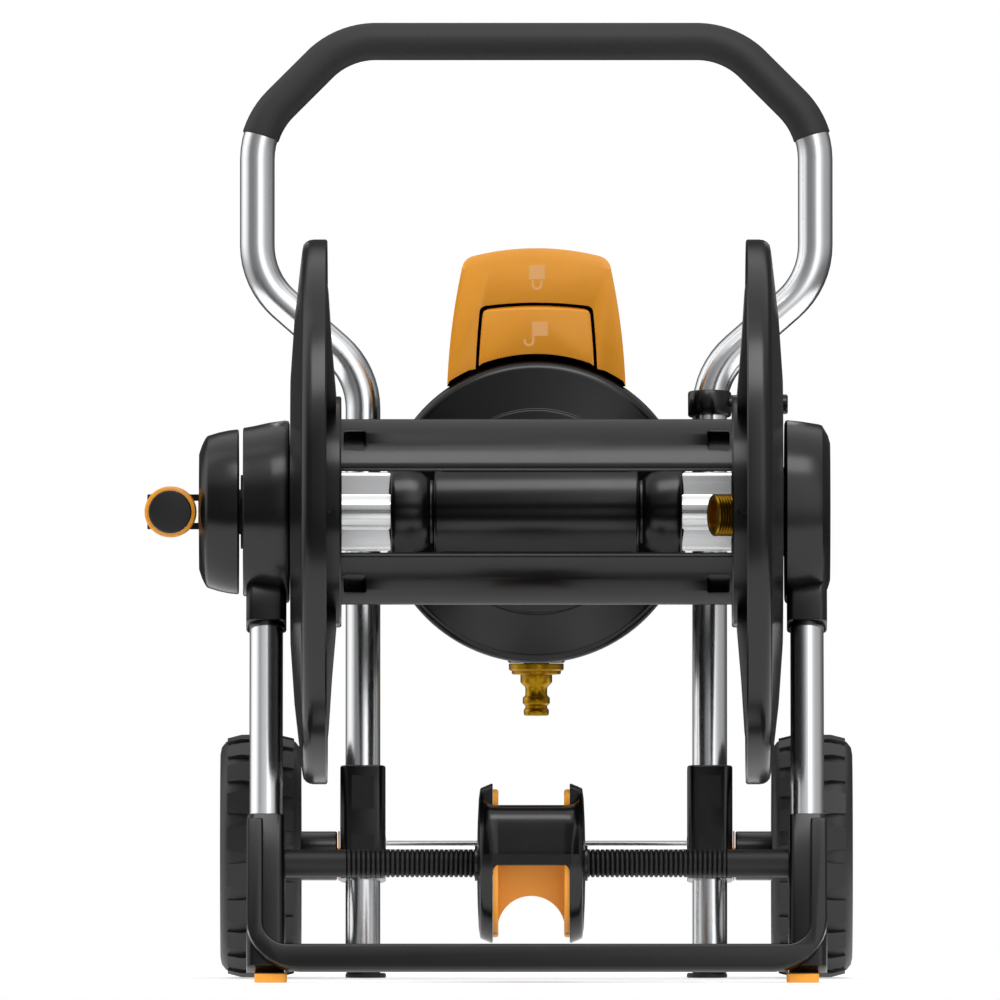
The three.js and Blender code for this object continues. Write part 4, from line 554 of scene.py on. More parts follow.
TURN_R = 93.0
TURN_FRONT_Y, TURN_BACK_Y = 213.0, 271.0
NOTCHES = 8
bm = bmesh.new()
facing_back = Matrix.Translation((0, 0, HUB_Z)) @ Matrix.Rotation(-pi / 2, 4, "X")
spun(bm, [
    (12.6, 213), (91.6, 213), (92.8, 214), (92.8, 232.2), (92, 233.2), (90.6, 234), (90.6, 266), (89, 269),
    (86, 270.8), (30, 270.8), (28.5, 269.6), (28.5, 266.6), (27, 265.1), (18.7, 265.1), (12.6, 265.1),
], facing_back, 128)
for k in range(NOTCHES):
    heading = Vector((sin(2 * pi * k / NOTCHES), 0, cos(2 * pi * k / NOTCHES)))
    near = []
    for f in bm.faces:
        out = f.calc_center_median() - Vector((0, 0, HUB_Z))
        if 218 < out.y < 230 and Vector((out.x, 0, out.z)).dot(heading) > 92.4 * cos(radians(2.9)):
            near.append(f)
    sunk = bmesh.ops.extrude_face_region(bm, geom=near)["geom"]
    bmesh.ops.translate(bm, verts=[g for g in sunk if isinstance(g, bmesh.types.BMVert)], vec=-7 * heading)
    bmesh.ops.delete(bm, geom=near, context="FACES")
spun(bm, [(0, 197), (17, 197), (18, 198), (18, 208), (0, 208)], Matrix.Translation((0, INLET_Y, 0)), 48)
piece("turning_plate", bm, gloss_black, "turntable", ["turntable"])

# ---- Swivel lock ----------------------------------------------------------------------------
# A moulded orange pedal with a release tab in its window, on a steel pin through the housing's
# lug. The crowns are bevelled. Plain raised padlock marks show closed on top and open below.
PEDAL_FRONT_Y, PEDAL_BACK_Y = 189.7, 199.4
PEDAL_TOP_Z, TAB_TOP_Z = 457.3, 421.3
PEDAL_CUT_R, TAB_CUT_R = 95.8, 96.4
FOOT_SLOPE = 3.4
WINDOW_GAP = 1.9
LOCK_PIN_Y, LOCK_PIN_Z = 206.0, 399.0


def bow(start, control, end, steps):
    """Points of a quadratic curve, without its start."""
    made = []
    for k in range(1, steps + 1):
        t = k / steps
        made.append(tuple((1 - t) ** 2 * s + 2 * t * (1 - t) * c + t * t * e
                          for s, c, e in zip(start, control, end)))
    return made


def crowned_side(half, wall, crown, fall, cut_r):
    """The right half of a crowned plate: up the wall, round the shoulder, to the crown's middle."""
    shoulder = (wall, crown - 3 * fall)
    low = (half, HUB_Z + 64)
    side = [low, *bow(low, (half, (low[1] + shoulder[1]) / 2), shoulder, 24)]
    above = [p for p in side if sqrt(p[0] ** 2 + (p[1] - HUB_Z) ** 2) > cut_r]
    turn = (wall - 2 * fall, crown - fall)
    bend = bow(shoulder, (wall - fall / 4, crown - 1.3 * fall), turn, 10)
    top = [p for p in bow(turn, (0, crown + fall), (-turn[0], turn[1]), 24) if p[0] > 0.1]
    return above + bend + top


def circle_points(start, end, radius, steps=12):
    """Points on the dish's circle between two places beside the middle plane."""
    first, last = asin(start / radius), asin(end / radius)
    turns = [first + (last - first) * k / steps for k in range(steps + 1)]
    return [(radius * sin(a), HUB_Z + radius * cos(a)) for a in turns]


def both_sides(right):
    return right + [(-x, z) for x, z in reversed(right)]


def lock_plate(outline, band_z, band_drop, cut_r, half):
    """Raises an outline to a plate. A band along its crown slopes back, and so does its foot."""
    bm = bmesh.new()
    face = bm.faces.new([bm.verts.new((x, PEDAL_BACK_Y, z)) for x, z in outline])
    for step in (PEDAL_FRONT_Y + 2.6 - PEDAL_BACK_Y, -2.6):
        grown = bmesh.ops.extrude_face_region(bm, geom=[face])["geom"]
        verts = [g for g in grown if isinstance(g, bmesh.types.BMVert)]
        face = next(g for g in grown if isinstance(g, bmesh.types.BMFace))
        bmesh.ops.translate(bm, verts=verts, vec=(0, step, 0))
        for v in verts:
            out = Vector((v.co.x, 0, v.co.z - HUB_Z))
            if out.length < cut_r + 0.05:
                v.co += out.normalized() * FOOT_SLOPE * (0.75 if step < -3 else 0.25)
    for v in verts:
        band = band_z - band_drop * (v.co.x / half) ** 2
        if v.co.z > band:
            v.co.z = band
            v.co.x *= 0.985
    return bm


pedal_side = crowned_side(56.2, 46.9, PEDAL_TOP_Z, 4.5, PEDAL_CUT_R)
window_side = crowned_side(36.8 + WINDOW_GAP, 33.8 + WINDOW_GAP, TAB_TOP_Z + WINDOW_GAP, 2, PEDAL_CUT_R)
foot = circle_points(window_side[0][0], pedal_side[0][0], PEDAL_CUT_R, 6)[1:-1]
right_leg = [*reversed(window_side), *foot, *pedal_side]
pedal_outline = right_leg + [(-x, z) for x, z in reversed(right_leg)]
bm = lock_plate(pedal_outline, PEDAL_TOP_Z - 8, 5.4, PEDAL_CUT_R, 46.9)
soften(bm, 0.5, 2, radians(40))
for side in (1, -1):
    ear = Matrix.Translation((side * 41, LOCK_PIN_Y, LOCK_PIN_Z)) @ Matrix.Rotation(pi / 2, 4, "Y")
    spun(bm, [(2.9, -3.5), (7.1, -3.5), (7.5, -3.1), (7.5, 3.1), (7.1, 3.5), (2.9, 3.5)], ear, 32)
    block(bm, (side * 41 - 3.5, 198, LOCK_PIN_Z - 7.4), (side * 41 + 3.5, 203.2, LOCK_PIN_Z + 7.4))
piece("pedal", bm, orange, "lock_pedal", ["lock_pedal"])

tab_side = crowned_side(36.8, 33.8, TAB_TOP_Z, 2, TAB_CUT_R)
tab_foot = circle_points(-tab_side[0][0], tab_side[0][0], TAB_CUT_R, 20)[1:-1]
tab_outline = tab_foot + both_sides(tab_side)
bm = lock_plate(tab_outline, TAB_TOP_Z - 2, 1.5, TAB_CUT_R, 33.8)
soften(bm, 0.5, 2, radians(40))
stem = Matrix.Translation((0, 0, 410)) @ Matrix.Rotation(-pi / 2, 4, "X")
spun(bm, [(0, PEDAL_BACK_Y - 1), (4, PEDAL_BACK_Y - 1), (4, 213.8), (3.4, 214.4), (0, 214.4)], stem, 32)
piece("tab", bm, orange, "release_tab", ["release_tab"])

# The marks are printed in a pale orange, a hair above the surface.
pale_orange, shader = surface("pad_printed_pale_orange", {"IOR": 1.5, "Roughness": 0.5})
where = add(pale_orange, "TexCoord", {}, {})
speck = add(pale_orange, "TexNoise", {}, {"Vector": (where, "Object"), "Scale": 900.0, "Detail": 2.0})
tone = add(pale_orange, "MixRGB", {}, {"Fac": (speck, "Fac"), "Color1": hex_colour("#f8b56c"), "Color2": hex_colour("#fdbe7a")})
join(pale_orange, tone, "Color", shader, "Base Color")


def padlock(bm, x, z, shackle):
    """A padlock mark, upside down: a block with a ring or a hook under it."""
    place = Matrix.Translation((0, PEDAL_FRONT_Y - 0.12, 0)) @ Matrix(((1, 0, 0, 0), (0, 0, 1, 0), (0, 1, 0, 0), (0, 0, 0, 1)))
    outline_slab(bm, [(x - 5, z), (x + 5, z), (x + 5, z + 9), (x - 5, z + 9)], 0.3, place)
    outer = [(shackle + 3.4 * cos(radians(a)), z - 3.2 + 3.4 * sin(radians(a))) for a in range(180, 361, 20)]
    inner = [(shackle + 1.9 * cos(radians(a)), z - 3.2 + 1.9 * sin(radians(a))) for a in range(360, 179, -20)]
    high = z + 0.2
    right_end = [(shackle + 3.4, high), (shackle + 1.9, high)]
    left_high = high if shackle == x else z - 2
    left_end = [(shackle - 1.9, left_high), (shackle - 3.4, left_high)]
    outline_slab(bm, outer + right_end + inner + left_end, 0.3, place)


bm = bmesh.new()
padlock(bm, 0.4, 437.6, 0.4)
piece("mark_closed", bm, pale_orange, "lock_pedal")
bm = bmesh.new()
padlock(bm, 2.2, 402.2, -4.6)
piece("mark_open", bm, pale_orange, "release_tab")

# ---- Bearing housings -----------------------------------------------------------------------
# Moulded cups at both ends of the drum, each with an arm back to the beam. The drum turns in a
# plain bush inside each cup.


def boxed_arm(bm, x_low, x_high, outline, matrix=Matrix()):
    """An arm drawn from the side, as (y, z), and as wide as its two ends say."""
    side_on = Matrix(((0, 0, 1, x_low), (1, 0, 0, 0), (0, 1, 0, 0), (0, 0, 0, 1)))
    return outline_slab(bm, outline, x_high - x_low, matrix @ side_on)


right_cup = [
    (23.4, 1.6), (23.4, -0.2), (54.6, -0.2), (56.4, 0.4), (57.2, 1.6), (56.2, 11), (54.6, 21.2), (53.8, 23.4),
    (47.6, 27), (42.8, 28.4), (0, 28.4), (0, 26),
]
left_cup = [
    (23.8, -0.6), (54.6, -0.6), (56.4, 0), (57.0, 2), (55.6, 12), (53.4, 22), (52.4, 27.8), (51.7, 28.4),
    (24.2, 28.4), (23.8, 28),
]
for side, hand, cup in ((1, "right", right_cup[2:]), (-1, "left", left_cup)):
    bm = bmesh.new()
    if hand == "right":
        cup = [(0, 0), *cup]
    spun(bm, cup, across(side * 154.4, 0, HUB_Z, side), 96)
    low_x, high_x = sorted((side * 156.6, side * 179.6))
    arm = boxed_arm(bm, low_x, high_x, [(44, -30), (208, -28.3), (208, 28.3), (44, 30)])
    low_x, high_x = sorted((side * 147.2, side * 160))
    boxed_arm(bm, low_x, high_x, [(181, -28), (208, -28), (208, 28), (181, 28)])
    for v in bm.verts:
        if v.co.z < 100:
            v.co.z += HUB_Z
    long_edges = [e for e in bm.edges if e.calc_length() > 40 and abs(e.verts[0].co.y - e.verts[1].co.y) > 40]
    bmesh.ops.recalc_face_normals(bm, faces=bm.faces)
    bmesh.ops.bevel(bm, geom=long_edges, offset=5, offset_type="OFFSET", segments=5, profile=0.5,
                    affect="EDGES", material=-1, clamp_overlap=True)
    soften(bm, 0.8, 2, radians(60))
    piece(f"housing_{hand}", bm, gloss_black, "frame", [f"bearing_housing_{hand}"])
for node in ("bearing_bush_right", "bearing_bush_left", "water_spigot", "spigot_seal", "water_pipe", "drive_shaft"):
    refinish(node, matt_black)

# ---- Front legs -----------------------------------------------------------------------------
# Two bright tubes lean forward from clips on the housing arms to moulded sockets. A moulded bar
# across their feet stands on two orange pads.
LEG_X = 168.2
LEG_R = 10.4
LEG_LEAN = radians(20)
leaning_leg = Matrix.Translation((0, 0, HUB_Z)) @ Matrix.Rotation(-LEG_LEAN, 4, "X")


def rounded_block(bm, low, high, matrix, radius, rim, steps=6):
    """A block with well-rounded edges along its height and a small round at both ends."""
    turned = Matrix.Identity(4)
    verts = block(bm, low, high, turned)
    tall = [e for e in bm.edges if all(v in verts for v in e.verts)
            and abs((e.verts[0].co - e.verts[1].co).z) > 0.9 * (high[2] - low[2])]
    others = set(bm.verts) - set(verts)
    bmesh.ops.bevel(bm, geom=tall, offset=radius, offset_type="OFFSET", segments=steps, profile=0.5,
                    affect="EDGES", material=-1, clamp_overlap=True)
    mine = [v for v in bm.verts if v not in others]
    ends = [e for e in bm.edges if all(v in mine for v in e.verts)
            and abs((e.verts[0].co - e.verts[1].co).z) < 0.01
            and any(abs(f.normal.z) > 0.5 for f in e.link_faces) and any(abs(f.normal.z) < 0.5 for f in e.link_faces)]
    bmesh.ops.bevel(bm, geom=ends, offset=rim, offset_type="OFFSET", segments=2, profile=0.5,
                    affect="EDGES", material=-1, clamp_overlap=True)
    mine = [v for v in bm.verts if v not in others]
    bmesh.ops.transform(bm, matrix=matrix, verts=mine)


for side, hand in ((1, "right"), (-1, "left")):
    leg = leaning_leg @ Matrix.Translation((side * LEG_X, 0, 0))
    bm = bmesh.new()
    rounded_block(bm, (-12.5, -13.5, -76), (12.5, 13.5, -50), leg, 4.5, 1.0)
    spun(bm, [(LEG_R + 0.1, -78.2), (11.8, -78.2), (11.8, -75.5), (LEG_R + 0.1, -75.5)], leg, 40)
    piece(f"clip_{hand}", bm, gloss_black, "frame", [f"leg_clip_{hand}"])

    bm = bmesh.new()
    spun(bm, [(9.2, -57.8), (LEG_R, -57.8), (LEG_R, -269.8), (9.2, -269.8)], leg, 48)
    piece(f"leg_{hand}", bm, bright_tube, "frame", [f"leg_tube_{hand}"])

    bm = bmesh.new()
    rounded_block(bm, (-12, -12.5, -304), (12, 12.5, -203.3), leg, 5, 1.2)
    cut = bm.verts[:] + bm.edges[:] + bm.faces[:]
    bmesh.ops.bisect_plane(bm, geom=cut, plane_co=(0, 0, 5.9), plane_no=(0, 0, 1), clear_inner=True)
    bmesh.ops.holes_fill(bm, edges=[e for e in bm.edges if e.is_boundary])
    block(bm, (-12.05, -7.5, -262), (-11.5, 7.5, -214), leg)
    piece(f"foot_{hand}", bm, gloss_black, "frame", [f"foot_socket_{hand}"])

    bm = bmesh.new()
    pad = Matrix.Translation((side * 165.1, -106.3, 0))
    rounded_block(bm, (-10.1, -12.4, 0.05), (10.1, 12.4, 5.6), pad, 3, 0.6, 4)
    piece(f"pad_{hand}", bm, orange, "frame", [f"foot_pad_{hand}"])

BAR_OUT, BAR_IN = 180.2, 169.9
BAR_TOP, BAR_LOW, BAR_INNER_LOW = -209.4, -309.0, -292.3
bm = bmesh.new()


def corner(x, z, radius, side, steps=8):
    """Points round a lower corner of the bar, from the upright to the level part."""
    points = []
    for k in range(steps + 1):
        a = pi / 2 * k / steps
        points.append((side * (x - radius + radius * cos(a)), z + radius - radius * sin(a)))
    return points


outer = [(-BAR_OUT, BAR_TOP)] + corner(BAR_OUT, BAR_LOW, 33, -1) + corner(BAR_OUT, BAR_LOW, 33, 1)[::-1] + [(BAR_OUT, BAR_TOP)]
inner = [(BAR_IN, BAR_TOP)] + corner(BAR_IN, BAR_INNER_LOW, 15, 1) + corner(BAR_IN, BAR_INNER_LOW, 15, -1)[::-1] + [(-BAR_IN, BAR_TOP)]
facing_out = leaning_leg @ Matrix(((1, 0, 0, 0), (0, 0, 1, -21.6), (0, 1, 0, 0), (0, 0, 0, 1)))
outline_slab(bm, outer + inner, 8.6, facing_out)
soften(bm, 1.6, 3, radians(40))
piece("cross_bar", bm, gloss_black, "frame", ["front_bar"])

# ---- Guide bar ------------------------------------------------------------------------------
# A black bar between the legs. Its middle is ringed with rounded ribs at a pitch of about 3 mm,
# on which the hose guide slides and stays where it is put.
GUIDE_BAR_Y, GUIDE_BAR_Z = -79.44, 73.75
RIB_PITCH = 3.03
RIBS = 78
ribbed = RIB_PITCH * RIBS / 2
outline = [(0, -157.4), (8.0, -157.4), (8.7, -156.7), (8.7, -ribbed - 0.3), (7.3, -ribbed)]
for k in range(RIBS):
    start = -ribbed + k * RIB_PITCH
    outline += [(8.35, start + 0.55), (8.75, start + 1.1), (8.75, start + 1.95), (8.35, start + 2.5), (7.3, start + RIB_PITCH)]
outline += [(8.7, ribbed + 0.3), (8.7, 156.7), (8.0, 157.4), (0, 157.4)]
bm = bmesh.new()
spun(bm, outline, across(0, GUIDE_BAR_Y, GUIDE_BAR_Z), 40)
piece("ribbed_bar", bm, matt_black, "frame", ["guide_bar"])

# ---- Hose guide -----------------------------------------------------------------------------
# A moulded bobbin of two cheeks joined by a saddle across the bar. An orange liner with an eye
# for the hose sits between the cheeks.
GUIDE_X = -3.4
SADDLE_R, SADDLE_BORE, SADDLE_CORNER = 36.2, 27.0, 16.0
BAND_LOW, BAND_HIGH = -0.25, 6.0
FRONT_END_Y = -16.0
RIM_R, RIM_X = 47.5, 29.6
over_band = ((0, 0, GUIDE_BAR_Z + BAND_HIGH), (0, 0, -1))
under_band = ((0, 0, GUIDE_BAR_Z + BAND_HIGH), (0, 0, 1))
behind_front = ((0, GUIDE_BAR_Y + FRONT_END_Y, 0), (0, -1, 0))


def spun_part(bm, profile, side, planes):
    """Spins a profile round the bar, and keeps what no plane cuts away."""
    before = set(bm.faces)
    spun(bm, profile, across(GUIDE_X, GUIDE_BAR_Y, GUIDE_BAR_Z, side), 96)
    for at, out in planes:
        faces = [f for f in bm.faces if f not in before]
        edges = {e for f in faces for e in f.edges}
        verts = {v for f in faces for v in f.verts}
        bmesh.ops.bisect_plane(bm, geom=[*verts, *edges, *faces], plane_co=at, plane_no=out, clear_outer=True)
        bmesh.ops.holes_fill(bm, edges=[e for e in bm.edges if e.is_boundary])


cheek_outer = [(9.9, RIM_X), (RIM_R, RIM_X), (46.8, 31.2), (46, 31.8), (40, 32.6), (25, 33.3), (11, 33.6),
               (11, 34.9), (10.7, 35.1), (9.9, 35.1)]
cheek_inner = [(9.9, 23.9), (49.2, 23.9), (49.6, 24.6), (48.2, 28), (RIM_R, RIM_X + 0.1), (9.9, RIM_X + 0.1)]
bm = bmesh.new()
for side in (1, -1):
    spun_part(bm, cheek_outer, side, [])
    spun_part(bm, cheek_inner, side, [under_band])
    spun_part(bm, cheek_inner, side, [over_band, behind_front])
piece("guide_bobbin", bm, gloss_black, "hose_guide", ["hose_guide"])

# The saddle is square in front and round at its back, and widens into the cheeks.
middle = SADDLE_R - SADDLE_CORNER
front = [(-middle - SADDLE_CORNER * cos(radians(a)), middle + SADDLE_CORNER * sin(radians(a))) for a in range(0, 91, 10)]
back = [(SADDLE_R * sin(radians(a)), SADDLE_R * cos(radians(a))) for a in range(0, 93, 4)]
bore = [(SADDLE_BORE * sin(radians(a)), SADDLE_BORE * cos(radians(a))) for a in range(92, -93, -4)]
outline = [(-SADDLE_R, 5)] + front + back[:-1] + [(SADDLE_R, -1.1), (SADDLE_BORE, -1.1)] + bore[1:-1] + [(-SADDLE_BORE, -1.1)]
bm = bmesh.new()
boxed_arm(bm, GUIDE_X - 21.4, GUIDE_X + 21.4, [(GUIDE_BAR_Y + y, GUIDE_BAR_Z + z) for y, z in outline])
piece("guide_saddle", bm, gloss_black, "hose_guide", ["hose_guide"])

square = [(-SADDLE_R, BAND_HIGH), (-SADDLE_R, 13)] + front + [(FRONT_END_Y, SADDLE_R)]
low_end, high_end = (atan2(z, -y) for y, z in (square[0], square[-1]))
rim_low, rim_high = asin(BAND_HIGH / RIM_R), acos(-FRONT_END_Y / RIM_R)


def flared_section(share):
    """The saddle's front from above the band to its top: square at share 0, and the rim's round at 1."""
    points = []
    for y, z in square:
        a = rim_low + (rim_high - rim_low) * (atan2(z, -y) - low_end) / (high_end - low_end)
        points.append(((1 - share) * y - share * RIM_R * cos(a), (1 - share) * z + share * RIM_R * sin(a)))
    for k in range(6, -1, -1):
        a = low_end + (high_end - low_end) * k / 6
        points.append((-SADDLE_BORE * cos(a), SADDLE_BORE * sin(a)))
    return points


for side, hand in ((1, "right"), (-1, "left")):
    bm = bmesh.new()
    rings = []
    for x, share in ((20.6, 0), (21.8, 0.015), (23.2, 0.05), (24.6, 0.11), (26, 0.21), (27.2, 0.35), (28.2, 0.54),
                     (28.9, 0.72), (29.4, 0.88), (RIM_X + 0.1, 1)):
        ring = [bm.verts.new((GUIDE_X + side * x, GUIDE_BAR_Y + y, GUIDE_BAR_Z + z)) for y, z in flared_section(share)]
        rings.append([bm.edges.new(pair) for pair in zip(ring, ring[1:] + ring[:1])])
    for near, far in zip(rings, rings[1:]):
        bmesh.ops.bridge_loops(bm, edges=near + far)
    bmesh.ops.holes_fill(bm, edges=rings[0] + rings[-1])
    piece(f"guide_flare_{hand}", bm, gloss_black, "hose_guide", ["hose_guide"])

bm = bmesh.new()
window_corner = [(23.9 - 5 + 5 * cos(radians(a)), BAND_LOW - 5 + 5 * sin(radians(a))) for a in range(0, 91, 15)]
band = [(-24.4, BAND_HIGH), (24.4, BAND_HIGH), (24.4, BAND_LOW - 5)] + window_corner
band += [(-x, z) for x, z in window_corner[::-1]] + [(-24.4, BAND_LOW - 5)]
outline_slab(bm, band, 12.6, Matrix(((1, 0, 0, GUIDE_X), (0, 0, 1, GUIDE_BAR_Y - 48.6), (0, 1, 0, GUIDE_BAR_Z), (0, 0, 0, 1))))
piece("guide_band", bm, gloss_black, "hose_guide", ["hose_guide"])

bm = bmesh.new()
liner = [(10.6, 20.4), (44.6, 20.4), (45.6, 20.8), (46, 21.8), (46, 23.8), (10.6, 23.8)]
for side in (1, -1):
    spun_part(bm, liner, side, [under_band])
    spun_part(bm, liner, side, [over_band, behind_front])
arch = [(GUIDE_X + 21 * cos(radians(a)), 32.6 + 21 * sin(radians(a))) for a in range(0, 181, 6)]
wall = [(GUIDE_X - 23.4, 29.6), (GUIDE_X - 21, 29.6)] + arch[::-1] + [(GUIDE_X + 21, 29.6), (GUIDE_X + 23.4, 29.6)]
wall += [(GUIDE_X + 23.4, 82), (GUIDE_X - 23.4, 82)]
back_wall = Matrix(((1, 0, 0, 0), (0, 0, 1, GUIDE_BAR_Y - 15.2), (0, 1, 0, 0), (0, 0, 0, 1)))
outline_slab(bm, wall, 3, back_wall)
piece("guide_eye", bm, orange, "hose_guide", ["guide_liner"])

# ---- Drum -----------------------------------------------------------------------------------
# Two dished moulded flanges with a rim, ribs and a cup, held apart by four curved bars. The
# bars have two windows each, and they carry the hose. A black plate under each window is painted shade.
FLANGE_R = 169.7
RIM_IN_X, RIM_OUT_X = 130.3, 145.9
SKIN_OUT_28, SKIN_OUT_120, SKIN_OUT_158 = 153.4, 150.8, 146.6
flange_outline = [
    (23.4, 136.2), (31.4, 136.2), (31.4, 149.8), (65.2, 149.2), (65.2, 122.6), (66, 121.6), (71.2, 121.6), (72, 122.6),
    (72, 149.2), (83, 149.2), (120, 147.2), (158, 143), (161.6, 142.4), (164.7, 140), (164.7, RIM_IN_X + 1), (165.6, RIM_IN_X),
    (168.8, RIM_IN_X), (169.7, RIM_IN_X + 1), (169.7, 138.6), (169.3, 141.4), (168.1, 143.6), (166.2, 145.2),
    (163, 145.9), (158, 146.5), (120, 150.8), (83, 153.3), (28, 153.3), (24.4, 153.3), (23.4, 152.4),
]
rib_outline = [(119.9, 150.4), (83, 151.6), (71, 151.6), (71, 124.8), (83, 124.8), (120, 127.6), (158, 129.8), (165, 130.6),
               (165, 143.6), (158, 144.6)]
for side, hand in ((1, "right"), (-1, "left")):
    place = across(0, 0, HUB_Z, side)
    bm = bmesh.new()
    spun(bm, flange_outline, place, 128)
    for k in range(6):
        turned = place @ Matrix.Rotation(pi / 2 + k * pi / 3, 4, "Z")
        upright = Matrix(((1, 0, 0, 0), (0, 0, 1, -1.3), (0, 1, 0, 0), (0, 0, 0, 1)))
        outline_slab(bm, rib_outline, 2.6, turned @ upright)
    piece(f"flange_disc_{hand}", bm, gloss_black, "drum", [f"flange_{hand}"])

BAR_OUTER_R, BAR_INNER_R = 64.4, 58.0
BAR_HALF_TURN = radians(19.2)
BAR_HALF_X = 148.9
BAR_STEPS = 12
for k in range(4):
    middle = radians(45 + 90 * k)
    bm = bmesh.new()
    stations = [-BAR_HALF_X, -119.9, -106.5, 106.5, 119.9, BAR_HALF_X]
    angles = [middle + BAR_HALF_TURN * (2 * j / BAR_STEPS - 1) for j in range(BAR_STEPS + 1)]
    line = [bm.verts.new((stations[0], BAR_OUTER_R * cos(a), HUB_Z + BAR_OUTER_R * sin(a))) for a in angles]
    edges = [bm.edges.new(pair) for pair in zip(line, line[1:])]
    for before, after in zip(stations, stations[1:]):
        grown = bmesh.ops.extrude_edge_only(bm, edges=edges)["geom"]
        bmesh.ops.translate(bm, verts=[g for g in grown if isinstance(g, bmesh.types.BMVert)], vec=(after - before, 0, 0))
        edges = [g for g in grown if isinstance(g, bmesh.types.BMEdge)]
    low_turn, high_turn = middle - radians(4.9), middle + radians(4.9)
    opened = []
    for f in bm.faces:
        mid = f.calc_center_median()
        turn = atan2(mid.z - HUB_Z, mid.y) % (2 * pi)
        if 106.5 < abs(mid.x) < 119.9 and low_turn < turn < high_turn:
            opened.append(f)
    bmesh.ops.delete(bm, geom=opened, context="FACES")
    bmesh.ops.recalc_face_normals(bm, faces=bm.faces)
    if bm.faces[0].normal.dot(Vector((0, cos(middle), sin(middle)))) < 0:
        bmesh.ops.reverse_faces(bm, faces=bm.faces)
    bmesh.ops.solidify(bm, geom=bm.faces[:], thickness=BAR_OUTER_R - BAR_INNER_R)
    bmesh.ops.recalc_face_normals(bm, faces=bm.faces)
    heading = Vector((0, cos(middle), sin(middle)))
    posts = [e for e in bm.edges if len(e.link_faces) == 2 and e.calc_face_angle(0) > radians(60)
             and abs((e.verts[0].co - e.verts[1].co).normalized().dot(heading)) > 0.9 and abs(e.verts[0].co.x) < 130]
    bmesh.ops.bevel(bm, geom=posts, offset=2.4, offset_type="OFFSET", segments=4, profile=0.5,
                    affect="EDGES", material=-1, clamp_overlap=True)
    soften(bm, 0.6, 2, radians(40))
    # Painted shade: a black plate just under each window, inside the drum, stands in for the shade seen through it.
    for side in (1, -1):
        x_low, x_high = sorted((side * 103, side * 136))
        block(bm, (x_low, -7.4, 52.4), (x_high, 7.4, 57.7),
              Matrix.Translation((0, 0, HUB_Z)) @ Matrix.Rotation(middle - pi / 2, 4, "X"))
    piece(f"hose_bar_{k + 1}", bm, gloss_black, "drum", [f"drum_bar_{k + 1}"])

# ---- Hose connector -------------------------------------------------------------------------
# A turned brass elbow end inside the drum. The hose is screwed on its G 3/4 thread.
CONNECTOR_X, CONNECTOR_Z = 133.8, 290.0
CONNECTOR_TURN = radians(18)
axis = Vector((-cos(CONNECTOR_TURN), -sin(CONNECTOR_TURN), 0))
place = Matrix.Translation((CONNECTOR_X, -0.4, CONNECTOR_Z)) @ Vector((0, 0, 1)).rotation_difference(axis).to_matrix().to_4x4()
outline = [(0, 0), (10, 0), (10, 9.5), (12.6, 9.6), (13, 10)]
for k in range(8):
    start = 10.4 + k * 1.8
    outline += [(12.1, start + 0.35), (13.15, start + 1.0), (13.15, start + 1.3)]
outline += [(12.2, 25.2), (9.6, 25.3), (9.5, 24.8), (9.5, 20.5), (0, 20.5)]
bm = bmesh.new()
spun(bm, outline, place, 72)
piece("threaded_brass", bm, brass, "drum", ["hose_connector"])

# ---- Crank ----------------------------------------------------------------------------------
# A moulded cup on the drum's shaft with an arm and a fork. The orange grip turns on a steel
# rod, folds over on the fork's pin, and ends in a black cap.
CRANK_PIN_X, CRANK_PIN_Y = -228.1, 95.0
cup = [
    (24.4, 185.4), (50.6, 185.4), (51.4, 186.2), (50.8, 191.6), (49.5, 197.8), (47.6, 204), (47, 205.3), (45.1, 206.6),
    (42.6, 207.8), (41.4, 208.4), (36, 210.2), (0, 210.2), (0, 205.6), (24.4, 205.6),
]
bm = bmesh.new()
spun(bm, cup, across(0, 0, HUB_Z, -1), 96)
low, high = (-211, 38, HUB_Z - 11), (-194, 84, HUB_Z + 11)
rounded_block(bm, (-8.5, -11, 38), (8.5, 11, 86), Matrix.Translation((-202.5, 0, HUB_Z)) @ Matrix.Rotation(-pi / 2, 4, "X"),
              3, 0.8, 4)
for side in (1, -1):
    eye = Matrix.Translation((CRANK_PIN_X, CRANK_PIN_Y, HUB_Z))
    z_low, z_high = sorted((side * 6.85, side * 10.95))
    spun(bm, [(3.05, z_low), (14.6, z_low), (15.1, z_low + 0.5), (15.1, z_high - 0.5), (14.6, z_high), (3.05, z_high)], eye, 56)
    block(bm, (-218, 82, HUB_Z + z_low), (-196, 109.6, HUB_Z + z_high))
block(bm, (-211, 80, HUB_Z - 10.9), (-195, 109.8, HUB_Z + 10.9))
piece("crank_cup", bm, gloss_black, "drum", ["crank_disc"])

grip_place = Matrix.Translation((CRANK_PIN_X, 0, HUB_Z)) @ Matrix.Rotation(pi / 2, 4, "X")
outline = [(6.2, 30), (14.6, 30), (15.7, 29.2), (15.9, 28)]
for k in range(5):
    mid = 14 - k * 14.4
    outline += [(15.9, mid + 3), (15.3, mid + 2.2), (15.3, mid - 2.2), (15.9, mid - 3)]
outline += [(15.9, -72.6), (15.2, -74.4), (13.4, -75), (6.2, -75)]
bm = bmesh.new()
spun(bm, outline, grip_place, 72)
piece("turning_grip", bm, orange, "crank_handle", ["crank_grip"])

bm = bmesh.new()
spun(bm, [(0, 30.3), (13, 30.3), (13.4, 30.7), (13.4, 34.6), (12.8, 35.6), (11.6, 36), (0, 36)], grip_place, 56)
piece("grip_cap", bm, matt_black, "crank_handle", ["grip_end_cap"])
refinish("grip_spindle", turned_steel)
